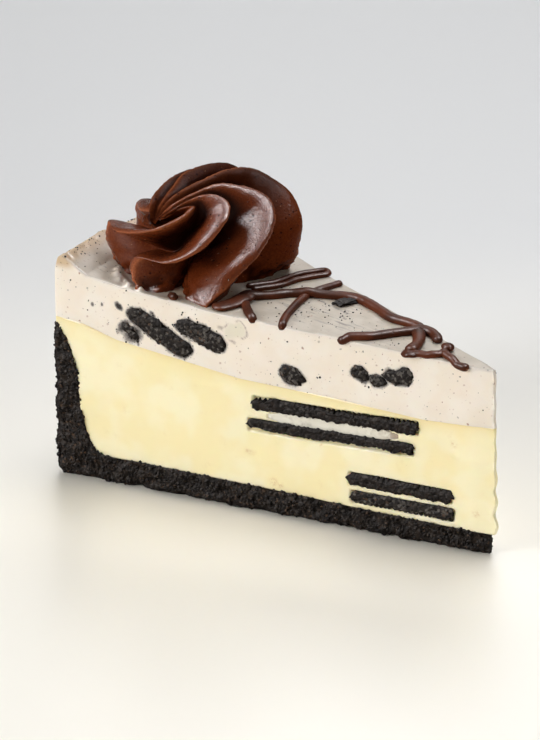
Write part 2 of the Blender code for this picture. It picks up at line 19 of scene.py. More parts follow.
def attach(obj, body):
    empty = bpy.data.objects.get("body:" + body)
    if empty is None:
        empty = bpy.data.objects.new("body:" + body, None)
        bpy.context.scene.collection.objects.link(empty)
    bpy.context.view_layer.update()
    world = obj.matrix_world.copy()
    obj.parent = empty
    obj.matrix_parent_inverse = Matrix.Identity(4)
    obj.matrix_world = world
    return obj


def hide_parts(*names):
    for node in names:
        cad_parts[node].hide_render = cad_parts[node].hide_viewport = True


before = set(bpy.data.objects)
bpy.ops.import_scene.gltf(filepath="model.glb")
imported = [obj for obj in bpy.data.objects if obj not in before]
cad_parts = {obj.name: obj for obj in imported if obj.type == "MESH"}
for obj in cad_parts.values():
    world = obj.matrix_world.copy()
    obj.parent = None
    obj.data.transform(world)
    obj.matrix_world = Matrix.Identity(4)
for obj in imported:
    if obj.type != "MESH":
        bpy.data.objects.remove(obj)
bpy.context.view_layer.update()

LOG = logging.getLogger("cheesecake")
MM = 0.001
GAP = 0.0003

Place = Callable[[float, float, float], Vector]
Line = Sequence[tuple[float, float]]
Triple = tuple[float, float, float]
Colour = tuple[float, float, float, float]


class Face(Enum):
    """The two cut faces of the slice, by the sign of the way they look along Y."""

    NEAR = -1
    FAR = 1


# Shapes


def straight(points: Line, x: float) -> float:
    """Reads a line of straight runs, level beyond its ends.

    Args:
        points: The corners of the line, in rising order of x.
        x: Where to read it.

    Returns:
        The line's value at x.
    """
    if x <= points[0][0]:
        return points[0][1]
    for (x0, y0), (x1, y1) in zip(points, points[1:]):
        if x <= x1:
            return y0 + (y1 - y0) * (x - x0) / (x1 - x0)
    return points[-1][1]


def smooth(x: float) -> float:
    """A soft step from 0 to 1 as x goes from 0 to 1."""
    x = min(1.0, max(0.0, x))
    return x * x * (3 - 2 * x)


def wobble(where: Vector, size: float, depth: float) -> float:
    """Even noise of one size, from -depth to depth."""
    return depth * noise.noise(where / size)


def wobbles(where: Vector, sizes: Line) -> float:
    """Several wobbles on each other, each given by its size and depth."""
    return sum(wobble(where, size, depth) for size, depth in sizes)


def bell(x: float, width: float) -> float:
    """A smooth hump, 1 where x is 0 and almost gone two widths away."""
    return math.exp(-((x / width) ** 2))


def grains(where: Vector, size: float) -> float:
    """Rounded crumbs of one size packed together.

    Args:
        where: The point to read.
        size: The distance between crumbs.

    Returns:
        1 on the crown of a crumb and 0 in the crevices between crumbs.
    """
    nearest = noise.voronoi(where / size)[0][0]
    return math.sqrt(max(0.0, 1.0 - (nearest / 0.85) ** 2))


def crowded(x: float, amount: float) -> float:
    """Moves shares of a side towards both of its ends, where its edges need more cells."""
    return x - amount * math.sin(2 * math.pi * x) / (2 * math.pi)


def eased_edge(distance: float, radius: float) -> float:
    """How far a rounded edge pulls a face in at a distance from the edge.

    Args:
        distance: Distance from the edge.
        radius: The edge's radius.

    Returns:
        The depth, and 0 beyond the radius.
    """
    if distance >= radius:
        return 0.0
    return radius - math.sqrt(radius**2 - (radius - distance) ** 2)


@dataclass(frozen=True)
class SliceForm:
    """The slice's outer form, which all its layers follow. Distances r are from the tip."""

    cake_radius: float = 0.114
    half_angle: float = math.radians(15.0)
    tip_x: float = 0.057
    tip_blunt: float = 0.0006
    tip_start: float = 0.0010
    tip_height: float = 0.0462
    rim_height: float = 0.0570
    rim_crest: float = 0.1114
    lip_start: float = 0.105
    lip_foot: float = 0.0520
    lip_rounding: float = 0.0008
    drag: float = 0.0020
    knife_ripple: float = 0.00045
    ripple_length: float = 0.00095
    filling_radius: float = 0.1134
    crust_wall_top: float = 0.0392
    mousse_line: Line = (
        (0.000, 0.0462), (0.024, 0.0472), (0.045, 0.0480), (0.070, 0.0489), (0.096, 0.0512),
        (0.105, 0.0528), (0.1114, 0.0570), (0.1128, 0.0560),
    )
    filling_line: Line = (
        (0.000, 0.0320), (0.018, 0.0312), (0.040, 0.0325), (0.065, 0.0333), (0.083, 0.0358),
        (0.097, 0.0376), (0.106, 0.0402), (0.114, 0.0412),
    )
    crust_line: Line = ((0.000, 0.0054), (0.030, 0.0056), (0.056, 0.0063), (0.090, 0.0067))
    wall_line: Line = (
        (0.0067, 0.1000), (0.0075, 0.1030), (0.0110, 0.1052), (0.0180, 0.1068), (0.0270, 0.1076),
        (0.0330, 0.1093), (0.0392, 0.1126),
    )

    def point(self, r: float, share: float, z: float, near: float = 0.0, far: float = 0.0) -> Vector:
        """Finds a point of the slice.

        Args:
            r: Distance from the tip.
            share: 0 on the near cut face and 1 on the far one.
            z: Height over the ground.
            near: How far the near face stands out there.
            far: How far the far face stands out there.

        Returns:
            The point.
        """
        angle = self.half_angle * (2 * share - 1)
        blunt = self.tip_blunt * (0.3 + 0.7 * smooth((r - self.tip_start) / 0.005))
        lateral = r * math.sin(angle) - (blunt + near) * (1 - share)
        lateral += (blunt + far) * share
        return Vector((self.tip_x - r * math.cos(angle), lateral, z))

    def on_face(self, face: Face, along: float, z: float, inward: float = 0.0) -> Vector:
        """Finds a point at a cut face.

        Args:
            face: The cut face.
            along: Distance from the tip along the face.
            z: Height over the ground.
            inward: Depth behind the face.

        Returns:
            The point.
        """
        cos, sin = math.cos(self.half_angle), math.sin(self.half_angle)
        y = along * sin - inward * cos + self.tip_blunt
        return Vector((self.tip_x - along * cos - inward * sin, face.value * y, z))

    def face_place(self, face: Face, where: Vector) -> tuple[float, float]:
        """Reads a point's distance along a cut face and its depth behind it.

        Args:
            face: The cut face.
            where: The point.

        Returns:
            Its distance from the tip along the face, and its depth.
        """
        cos, sin = math.cos(self.half_angle), math.sin(self.half_angle)
        back, out = self.tip_x - where.x, face.value * where.y - self.tip_blunt
        return back * cos + out * sin, back * sin - out * cos

    def inward(self, face: Face) -> Vector:
        """The direction straight into the slice from a cut face."""
        return Vector((-math.sin(self.half_angle), -face.value * math.cos(self.half_angle), 0.0))

    def mousse_top(self, r: float, lateral: float = 0.0) -> float:
        """Height of the mousse's top, with its uneven lip at the rim.

        Args:
            r: Distance from the tip.
            lateral: A second number for the lip's waves.

        Returns:
            The height.
        """
        lip = max(0.0, (r - self.lip_start) / (self.rim_crest - self.lip_start))
        wave = wobble(Vector((r, lateral, 0.3)), 0.011, 0.0005) * min(1.0, lip)
        return straight(self.mousse_line, r) + wave

    def filling_top(self, r: float) -> float:
        """Height of the filling's top."""
        return straight(self.filling_line, r)

    def crust_top(self, r: float) -> float:
        """Height of the crust's floor."""
        return straight(self.crust_line, r)

    def crust_inner(self, z: float) -> float:
        """Radius of the crust wall's inner face at a height."""
        return straight(self.wall_line, z)

    def filling_outer(self, z: float) -> float:
        """Radius of the filling's outer face at a height."""
        wall = self.crust_inner(z) + GAP if z < self.crust_wall_top else self.filling_radius
        return min(self.filling_radius, wall)

    def mousse_outer(self, z: float) -> float:
        """Radius of the mousse's outer face, which rounds over at the lip."""
        share = (z - self.lip_foot) / (self.rim_height - self.lip_foot)
        return self.filling_radius - self.lip_rounding * smooth(share)

    def tip_reach(self, z: float) -> float:
        """How far the soft layers' tip is dragged past the crust's, with the ripples of the knife.

        Args:
            z: Height over the ground.

        Returns:
            The distance.
        """
        calm = 1 - 0.8 * smooth((z - 0.006) / 0.028)
        ripple = self.knife_ripple * math.sin(z / self.ripple_length) * calm
        return self.drag * (1 - z / self.tip_height) + ripple


FORM = SliceForm()


def add_mesh(name: str, shell: bmesh.types.BMesh, finish: Material) -> Object:
    """Turns a closed shell into a smooth object whose faces point outwards.

    Args:
        name: The object's name.
        shell: The shell. It is freed.
        finish: The object's material.

    Returns:
        The new object.
    """
    bmesh.ops.recalc_face_normals(shell, faces=shell.faces)
    mesh = bpy.data.meshes.new(name)
    shell.to_mesh(mesh)
    shell.free()
    mesh.shade_smooth()
    mesh.materials.append(finish)
    made = bpy.data.objects.new(name, mesh)
    bpy.context.scene.collection.objects.link(made)
    return made


def block(counts: tuple[int, int, int], place: Place) -> bmesh.types.BMesh:
    """Makes the skin of a box and moves each of its points.

    Args:
        counts: Cells each way.
        place: Gives a point from its three shares of the box.

    Returns:
        The closed shell.
    """
    shell = bmesh.new()
    points: dict[tuple[int, ...], bmesh.types.BMVert] = {}

    def corner(cell: tuple[int, ...]) -> bmesh.types.BMVert:
        """Makes a cell corner's point once, and finds it again afterwards.

        Args:
            cell: The corner, counted in cells.

        Returns:
            Its point.
        """
        if cell not in points:
            points[cell] = shell.verts.new(place(*(cell[axis] / counts[axis] for axis in range(3))))
        return points[cell]

    for axis in range(3):
        one, two = [other for other in range(3) if other != axis]
        for level in (0, counts[axis]):
            for i in range(counts[one]):
                for j in range(counts[two]):
                    ring = []
                    for di, dj in ((0, 0), (1, 0), (1, 1), (0, 1)):
                        cell = [0, 0, 0]
                        cell[axis], cell[one], cell[two] = level, i + di, j + dj
                        ring.append(corner(tuple(cell)))
                    shell.faces.new(ring)
    return shell


def paint(piece: Object, name: str, value: Callable[[Vector], float]) -> None:
    """Stores a number at each point of a piece, for its material or its crumbs to read.

    Args:
        piece: The piece.
        name: The attribute's name.
        value: Gives the number from the point's place.
    """
    layer = piece.data.attributes.new(name, "FLOAT", "POINT")
    layer.data.foreach_set("value", [value(point.co) for point in piece.data.vertices])


# Finishes


class Nodes:
    """A node tree, with short calls that materials and shapes share."""

    def __init__(self, tree: NodeTree) -> None:
        """Takes the tree."""
        self.tree = tree

    def put(self, socket: NodeSocket, value: object) -> None:
        """Joins a socket to another one, or sets it to a plain value.

        Args:
            socket: The socket.
            value: The other socket, or the value.
        """
        if isinstance(value, NodeSocket):
            self.tree.links.new(value, socket)
        else:
            socket.default_value = value

    def node(self, kind: str, inputs: Optional[dict] = None, **settings: object) -> Node:
        """Adds a node.

        Args:
            kind: The node's type.
            inputs: Its inputs' sockets or values, by name or number.
            **settings: Its properties, by name.

        Returns:
            The node.
        """
        made = self.tree.nodes.new(kind)
        for key, value in settings.items():
            setattr(made, key, value)
        for key, value in (inputs or {}).items():
            self.put(made.inputs[key], value)
        return made

    def sum_up(self, kind: str, one: object, two: object = 0.0, clamp: bool = False) -> NodeSocket:
        """Works out one step of arithmetic.

        Args:
            kind: The operation.
            one: Its first number.
            two: Its second number.
            clamp: Whether the result is kept from 0 to 1.

        Returns:
            The result.
        """
        return self.node("ShaderNodeMath", {0: one, 1: two}, operation=kind, use_clamp=clamp).outputs[0]


class Graph(Nodes):
    """A material's node tree, with short calls for the nodes that the finishes share."""

    def __init__(self, name: str) -> None:
        """Starts a material with one shader.

        Args:
            name: The material's name.
        """
        self.material = bpy.data.materials.new(name)
        self.material.use_nodes = True
        super().__init__(self.material.node_tree)
        self.shader = self.tree.nodes["Principled BSDF"]
        self.place = self.node("ShaderNodeTexCoord").outputs["Object"]

    def step(self, value: object, low: float, high: float) -> NodeSocket:
        """A soft step from 0 to 1 as a value goes from low to high.

        Args:
            value: The value.
            low: The value where the step starts.
            high: The value where it ends.

        Returns:
            The step.
        """
        inputs = {"Value": value, "From Min": low, "From Max": high}
        return self.node("ShaderNodeMapRange", inputs, interpolation_type="SMOOTHSTEP").outputs["Result"]

    def mix(self, share: object, one: object, two: object) -> NodeSocket:
        """Mixes two colours, all of the second where the share is 1."""
        return self.node("ShaderNodeMix", {0: share, 6: one, 7: two}, data_type="RGBA").outputs[2]

    def lay(self, under: object, over: object, share: object, strength: object) -> NodeSocket:
        """Lays a colour over another one, as a share times a strength asks."""
        return self.mix(self.sum_up("MULTIPLY", share, strength), under, over)

    def mottle(
        self, size: float, detail: float = 2.0, rough: float = 0.5, place: Optional[NodeSocket] = None
    ) -> NodeSocket:
        """Cloudy noise with patches of about one size, mostly from 0.3 to 0.7.

        Args:
            size: The patches' size.
            detail: How many finer sizes there are in it.
            rough: How strong the finer ones are.
            place: Where it is read, which is the piece's own place unless given.

        Returns:
            The noise.
        """
        inputs = {"Vector": place or self.place, "Scale": 1 / size, "Detail": detail, "Roughness": rough}
        return self.node("ShaderNodeTexNoise", inputs).outputs["Fac"]

    def cells(self, size: float) -> tuple[NodeSocket, NodeSocket]:
        """Scattered cells: the distance to each one's middle, and its own random colour.

        Args:
            size: Distance between cells.

        Returns:
            The distance and the colour.
        """
        warp = self.node("ShaderNodeTexNoise", {"Vector": self.place, "Scale": 2.2 / size, "Detail": 1.0})
        inputs = {0: warp.outputs["Color"], 1: (size * 0.35,) * 3, 2: self.place}
        shift = self.node("ShaderNodeVectorMath", inputs, operation="MULTIPLY_ADD")
        made = self.node("ShaderNodeTexVoronoi", {"Vector": shift.outputs[0], "Scale": 1 / size})
        return made.outputs["Distance"], made.outputs["Color"]

    def specks(self, size: float, share: float, radius: float) -> NodeSocket:
        """Small dots of uneven size.

        Args:
            size: Distance between places that may have a dot.
            share: Share of those places that have one.
            radius: A dot's largest radius, as a share of size.

        Returns:
            1 in a dot and 0 outside.
        """
        distance, colour = self.cells(size)
        split = self.node("ShaderNodeSeparateColor", {0: colour}).outputs
        chosen = self.sum_up("LESS_THAN", split["Red"], share)
        reach = self.sum_up("MULTIPLY", self.sum_up("ADD", split["Green"], 0.25), radius)
        inside = self.step(self.sum_up("DIVIDE", distance, reach), 1.0, 0.6)
        return self.sum_up("MULTIPLY", inside, chosen)

    def painted(self, name: str) -> NodeSocket:
        """Reads a number that was stored at the piece's points."""
        return self.node("ShaderNodeAttribute", attribute_name=name).outputs["Fac"]

    def bump(
        self, height: object, strength: float, depth: float, under: Optional[NodeSocket] = None
    ) -> NodeSocket:
        """Adds fine relief to the normal.

        Args:
            height: The relief.
            strength: How much of it shows, up to 1.
            depth: How deep it is.
            under: The relief that it lies on, if there is one.

        Returns:
            The normal.
        """
        inputs = {"Strength": strength, "Distance": depth, "Height": height}
        if under is not None:
            inputs["Normal"] = under
        return self.node("ShaderNodeBump", inputs).outputs["Normal"]

    def set(self, **values: object) -> None:
        """Sets the shader's sockets. An underscore in a name stands for a space."""
        for name, value in values.items():
            self.put(self.shader.inputs[name.replace("_", " ")], value)


def rgb(red: float, green: float, blue: float) -> Colour:
    """A colour with full opacity."""
    return (red, green, blue, 1.0)


@dataclass(frozen=True)
class MousseFinish:
    """Set mousse: off-white on the cut faces, greyer on top, with cookie dust in it."""

    face: Colour = rgb(0.88, 0.79, 0.68)
    face_cloud: Colour = rgb(0.90, 0.83, 0.74)
    top: Colour = rgb(0.51, 0.445, 0.36)
    top_cloud: Colour = rgb(0.60, 0.535, 0.45)
    crest: Colour = rgb(0.60, 0.42, 0.24)
    dark: Colour = rgb(0.050, 0.038, 0.030)
    red: Colour = rgb(0.30, 0.10, 0.05)
    grey: Colour = rgb(0.20, 0.18, 0.17)
    smear: Colour = rgb(0.030, 0.026, 0.024)
    blotch: Colour = rgb(0.74, 0.70, 0.56)
    ring: Colour = rgb(0.30, 0.22, 0.18)
    streak_turn: float = math.radians(-38.0)

    def build(self) -> Material:
        """Makes the material.

        Returns:
            The material.
        """
        g = Graph("mousse")
        normal = g.node("ShaderNodeNewGeometry").outputs["Normal"]
        up = g.step(g.node("ShaderNodeSeparateXYZ", {0: normal}).outputs["Z"], 0.45, 0.85)
        cloud = g.step(g.mottle(0.007, 3.0), 0.35, 0.65)
        face = g.mix(cloud, self.face, self.face_cloud)
        top = g.mix(cloud, self.top, self.top_cloud)
        colour = g.mix(g.sum_up("SUBTRACT", up, g.painted("lump"), clamp=True), face, top)
        colour = g.mix(g.painted("crest"), colour, self.crest)
        turned = {"Vector": g.place, "Rotation": (0.0, 0.0, self.streak_turn), "Scale": (0.16, 1.0, 1.0)}
        streak = g.node("ShaderNodeMapping", turned)
        lines = g.step(g.mottle(0.0011, 3.0, 0.6, streak.outputs[0]), 0.53, 0.66)
        colour = g.lay(colour, self.grey, lines, g.painted("streaks"))
        ragged = g.sum_up("ADD", g.painted("stain"), g.sum_up("MULTIPLY", g.mottle(0.0011, 4.0, 0.7), 0.7))
        colour = g.mix(g.step(ragged, 0.62, 1.05), colour, self.grey)
        colour = g.mix(g.step(ragged, 1.00, 1.30), colour, self.smear)
        colour = g.lay(colour, self.blotch, g.painted("blotch"), 0.6)
        ring = g.sum_up("MULTIPLY", g.painted("ring"), g.step(g.mottle(0.0030, 3.0, 0.6), 0.40, 0.62))
        colour = g.lay(colour, self.ring, ring, 0.85)
        tint = g.mix(g.step(g.mottle(0.004, 0.0), 0.42, 0.58), self.dark, self.red)
        colour = g.lay(colour, self.red, g.specks(0.0010, 0.5, 0.24), 0.22)
        colour = g.lay(colour, tint, g.specks(0.0013, 0.35, 0.22), 0.40)
        colour = g.lay(colour, tint, g.specks(0.0021, 0.40, 0.15), 0.70)
        relief = g.bump(g.mottle(0.0007, 3.0, 0.6), 0.35, 0.00010)
        g.set(
            Base_Color=colour,
            Roughness=0.44,
            Specular_IOR_Level=0.20,
            Subsurface_Weight=0.18,
            Subsurface_Radius=(0.0022, 0.0016, 0.0010),
            Subsurface_Scale=1.0,
            Normal=g.bump(g.mottle(0.0035, 2.0), 0.25, 0.0003, relief),
        )
        return g.material


@dataclass(frozen=True)
class FillingFinish:
    """Baked cheesecake filling: pale yellow, deeper just under the mousse, with a few tan spots."""

    pale: Colour = rgb(0.98, 0.89, 0.60)
    warm: Colour = rgb(0.96, 0.84, 0.49)
    band: Colour = rgb(0.92, 0.74, 0.35)
    tan: Colour = rgb(0.72, 0.52, 0.24)
    stain: Colour = rgb(0.26, 0.18, 0.10)
    pit: Colour = rgb(0.16, 0.08, 0.04)

    def build(self) -> Material:
        """Makes the material.

        Returns:
            The material.
        """
        g = Graph("filling")
        colour = g.mix(g.step(g.mottle(0.010, 2.0), 0.38, 0.62), self.pale, self.warm)
        colour = g.mix(g.painted("band"), colour, self.band)
        spots = g.sum_up("MULTIPLY", g.step(g.mottle(0.0040, 4.0, 0.6), 0.60, 0.80), 0.22)
        colour = g.mix(spots, colour, self.tan)
        broken = g.step(g.mottle(0.0008, 3.0, 0.7), 0.4, 0.6)
        colour = g.lay(colour, self.tan, g.painted("tan"), broken)
        ragged = g.sum_up("ADD", g.painted("stain"), g.sum_up("MULTIPLY", g.mottle(0.0009, 4.0, 0.7), 0.7))
        colour = g.lay(colour, self.stain, g.step(ragged, 0.70, 1.15), 0.8)
        colour = g.mix(g.specks(0.0060, 0.20, 0.05), colour, self.pit)
        relief = g.bump(g.mottle(0.0006, 3.0, 0.6), 0.25, 0.00008)
        g.set(
            Base_Color=colour,
            Roughness=0.42,
            Subsurface_Weight=0.25,
            Subsurface_Radius=(0.0030, 0.0022, 0.0010),
            Subsurface_Scale=1.0,
            Normal=g.bump(g.mottle(0.0045, 2.0), 0.2, 0.0003, relief),
        )
        return g.material


@dataclass(frozen=True)
class CrumbFinish:
    """Dark baked cookie: near black, with brown and grey crumbs showing.

    name names the material. dust is how few of its crumbs are grey, from 0 to 1.
    """

    name: str
    dark: Colour = rgb(0.008, 0.006, 0.005)
    brown: Colour = rgb(0.026, 0.018, 0.013)
    grey: Colour = rgb(0.050, 0.044, 0.040)
    speck: Colour = rgb(0.080, 0.050, 0.033)
    pale: Colour = rgb(0.45, 0.36, 0.27)
    dust: float = 0.80

    def build(self) -> Material:
        """Makes the material.

        Returns:
            The material.
        """
        g = Graph(self.name)
        colour = g.mix(g.step(g.mottle(0.0016, 3.0, 0.6), 0.42, 0.68), self.dark, self.brown)
        _, own = g.cells(0.0006)
        split = g.node("ShaderNodeSeparateColor", {0: own}).outputs
        colour = g.mix(g.step(split["Red"], self.dust, 1.0), colour, self.grey)
        colour = g.mix(g.step(split["Green"], 0.92, 1.0), colour, self.speck)
        colour = g.mix(g.specks(0.0030, 0.12, 0.06), colour, self.pale)
        distance, _ = g.cells(0.00055)
        relief = g.bump(g.sum_up("SUBTRACT", 1.0, distance), 0.8, 0.00025)
        relief = g.bump(g.mottle(0.0002, 2.0), 0.4, 0.00008, relief)
        g.set(Base_Color=colour, Roughness=0.72, Specular_IOR_Level=0.10, Normal=relief)
        return g.material


@dataclass(frozen=True)
class CreamFinish:
    """Sandwich cream: matt white, greyed by crumbs."""

    white: Colour = rgb(0.76, 0.73, 0.63)
    dusty: Colour = rgb(0.52, 0.48, 0.40)
    smudge: Colour = rgb(0.34, 0.24, 0.16)
    crumb: Colour = rgb(0.06, 0.045, 0.035)

    def build(self) -> Material:
        """Makes the material.

        Returns:
            The material.
        """
        g = Graph("wafer cream")
        colour = g.mix(g.step(g.mottle(0.0030, 3.0, 0.6), 0.50, 0.72), self.white, self.dusty)
        smudge = g.sum_up("MULTIPLY", g.painted("smudge"), g.step(g.mottle(0.0014, 3.0, 0.7), 0.3, 0.6))
        colour = g.mix(smudge, colour, self.smudge)
        colour = g.mix(g.specks(0.0014, 0.25, 0.15), colour, self.crumb)
        relief = g.bump(g.mottle(0.0006, 3.0, 0.6), 0.4, 0.00012)
        g.set(Base_Color=colour, Roughness=0.5, Normal=relief)
        return g.material


@dataclass(frozen=True)
class ChocolateFinish:
    """Chocolate frosting or drizzle: soft gloss and fine pores, with light and shade painted into its
    colour.

    name names the material. body is its colour in the mass. crest is a redder colour along the thin ridges,
    painted there as a glow of light shining through the thin frosting. The darkest colour is painted shade
    in its valleys and pores, and also darkens its fine grain. patch is the colour of its warmer patches,
    and the paler specks are painted glints.
    pores is how strongly the fine air bubbles show.
    """

    name: str
    body: Colour = rgb(0.158, 0.0310, 0.0075)
    crest: Colour = rgb(0.400, 0.115, 0.042)
    grain_and_painted_shade: Colour = rgb(0.014, 0.0025, 0.0008)
    patch: Colour = rgb(0.195, 0.042, 0.011)
    painted_glint: Colour = rgb(0.45, 0.20, 0.11)
    roughness: float = 0.25
    sheen: float = 0.15
    pores: float = 1.0

    def build(self) -> Material:
        """Makes the material.

        Returns:
            The material.
        """
        g = Graph(self.name)
        patch = g.step(g.mottle(0.006, 2.0), 0.35, 0.65)
        colour = g.lay(self.body, self.patch, patch, 0.5)
        # Painted shade: the deep valleys, the dents of the blunt feet and the ridges with little gloss are
        # darkened towards near black.
        valley = g.step(g.painted("valley"), 0.02, 0.50)
        colour = g.lay(colour, self.grain_and_painted_shade, valley, 0.93)
        # Painted glow: the thin crests are tinted redder, as light shining through them would make them.
        colour = g.mix(g.painted("crest"), colour, self.crest)
        grain = g.step(g.mottle(0.00050, 3.0, 0.7), 0.35, 0.65)
        colour = g.lay(colour, self.grain_and_painted_shade, grain, 0.35 * self.pores)
        # Painted shade in the pores of the air bubbles.
        bubbles = g.specks(0.0012, 0.55, 0.24)
        colour = g.lay(colour, self.grain_and_painted_shade, bubbles, 0.7 * self.pores)
        # Painted glints: scattered paler specks, as if light caught the rims of the pores.
        painted_glint = g.specks(0.0013, 0.35, 0.14)
        colour = g.lay(colour, self.painted_glint, painted_glint, 0.6 * self.pores)
        relief = g.bump(g.sum_up("SUBTRACT", 1.0, bubbles), 0.8 * self.pores, 0.00025)
        relief = g.bump(g.mottle(0.00050, 3.0, 0.65), 0.8 * self.pores, 0.00020, relief)
        g.set(
            Base_Color=colour,
            Roughness=self.roughness,
            Specular_IOR_Level=g.sum_up("MULTIPLY", g.painted("gloss"), self.sheen),
            Normal=g.bump(g.mottle(0.0022, 2.0), 0.25, 0.0002, relief),
        )
        return g.material


@dataclass(frozen=True)
class Finishes:
    """All the finishes of the slice, each made once."""

    mousse: Material
    filling: Material
    crust: Material
    wafer: Material
    broken: Material
    cream: Material
    frosting: Material
    drizzle: Material

    @classmethod
    def made(cls) -> "Finishes":
        """Makes every material.

        Returns:
            The finishes.
        """
        return cls(
            mousse=MousseFinish().build(),
            filling=FillingFinish().build(),
            crust=CrumbFinish("crumb crust").build(),
            wafer=CrumbFinish(
                "chocolate wafer", brown=rgb(0.020, 0.014, 0.011), speck=rgb(0.036, 0.026, 0.021)
            ).build(),
            broken=CrumbFinish(
                "broken wafer", brown=rgb(0.028, 0.022, 0.018), grey=rgb(0.110, 0.100, 0.090), dust=0.62
            ).build(),
            cream=CreamFinish().build(),
            frosting=ChocolateFinish("chocolate frosting").build(),
            drizzle=ChocolateFinish(
                "chocolate drizzle",
                body=rgb(0.046, 0.012, 0.005),
                crest=rgb(0.12, 0.036, 0.016),
                roughness=0.38,
                sheen=0.08,
                pores=0.35,
            ).build(),
        )


# What is scattered or follows a path


class Recipe(Nodes):
    """A Geometry Nodes tree with named inputs, whose result is kept as a plain piece."""

    def __init__(self, name: str, **inputs: str) -> None:
        """Starts the tree with its inputs and its output.

        Args:
            name: The tree's name.
            **inputs: The kind of each input, by name.
        """
        super().__init__(bpy.data.node_groups.new(name, "GeometryNodeTree"))
        self.sockets = {}
        for key, kind in inputs.items():
            made = self.tree.interface.new_socket(key, in_out="INPUT", socket_type=f"NodeSocket{kind}")
            self.sockets[key] = made.identifier
        self.tree.interface.new_socket("Result", in_out="OUTPUT", socket_type="NodeSocketGeometry")
        self.given = self.node("NodeGroupInput").outputs

    def close(self, shape: NodeSocket) -> None:
        """Ends the tree with a shape, made real and given its finish."""
        realized = self.node("GeometryNodeRealizeInstances", {0: shape})
        inputs = {"Geometry": realized.outputs[0], "Material": self.given["Finish"]}
        self.node("NodeGroupOutput", {0: self.node("GeometryNodeSetMaterial", inputs).outputs[0]})

    def evaluated(self, name: str, start: Mesh, **values: object) -> Object:
        """Runs the tree on a mesh and keeps what comes out.

        Args:
            name: The new piece's name.
            start: The mesh that the tree is given.
            **values: The inputs' values, by name.

        Returns:
            The new piece, with no modifier left on it.
        """
        carrier = bpy.data.objects.new(f"{name}_carrier", start)
        bpy.context.scene.collection.objects.link(carrier)
        modifier = carrier.modifiers.new(self.tree.name, "NODES")
        modifier.node_group = self.tree
        for key, value in values.items():
            modifier[self.sockets[key]] = value
        graph = bpy.context.evaluated_depsgraph_get()
        mesh = bpy.data.meshes.new_from_object(carrier.evaluated_get(graph))
        bpy.data.objects.remove(carrier)
        mesh.name = name
        mesh.shade_smooth()
        made = bpy.data.objects.new(name, mesh)
        bpy.context.scene.collection.objects.link(made)
        return made


class CrumbScatter(Recipe):
    """Loose crumbs spread over a surface, as thick as the surface's "crumbs" number asks."""

    def __init__(self) -> None:
        """Builds the node tree once, with its sizes as named inputs."""
        super().__init__(
            "Crumb scatter",
            Surface="Geometry",
            Density="Float",
            Smallest="Float",
            Largest="Float",
            Seed="Int",
            Finish="Material",
        )
        given, node = self.given, self.node
        weight = node("GeometryNodeInputNamedAttribute", {"Name": "crumbs"})
        density = self.sum_up("MULTIPLY", given["Density"], weight.outputs["Attribute"])
        inputs = {"Mesh": given["Surface"], "Density": density, "Seed": given["Seed"]}
        spread = node("GeometryNodeDistributePointsOnFaces", inputs)
        crumb = node("GeometryNodeMeshIcoSphere", {"Radius": 1.0, "Subdivisions": 1})
        size = node("FunctionNodeRandomValue", {"Seed": given["Seed"]}, data_type="FLOAT")
        uneven = self.sum_up("POWER", size.outputs[1], 2.2)
        inputs = {"Value": uneven, "To Min": given["Smallest"], "To Max": given["Largest"]}
        ranged = node("ShaderNodeMapRange", inputs)
        inputs = {0: (0.65, 0.65, 0.5), 1: (1.25, 1.25, 1.0)}
        squash = node("FunctionNodeRandomValue", inputs, data_type="FLOAT_VECTOR")
        inputs = {0: squash.outputs[0], "Scale": ranged.outputs["Result"]}
        scale = node("ShaderNodeVectorMath", inputs, operation="SCALE")
        turn = node("FunctionNodeRandomValue", {1: (math.tau,) * 3}, data_type="FLOAT_VECTOR")
        inputs = {
            "Points": spread.outputs["Points"],
            "Instance": crumb.outputs["Mesh"],
            "Rotation": turn.outputs[0],
            "Scale": scale.outputs[0],
        }
        self.close(node("GeometryNodeInstanceOnPoints", inputs).outputs[0])

    def over(self, name: str, surface: Object, finish: Material, **sizes: float) -> Object:
        """Spreads crumbs over a surface.

        Args:
            name: The new piece's name.
            surface: The piece that carries them, with its "crumbs" number painted.
            finish: The crumbs' material.
            **sizes: Values for the tree's other inputs, by name.

        Returns:
            The crumbs, as one piece.
        """
        return self.evaluated(name, surface.data, Finish=finish, **sizes)


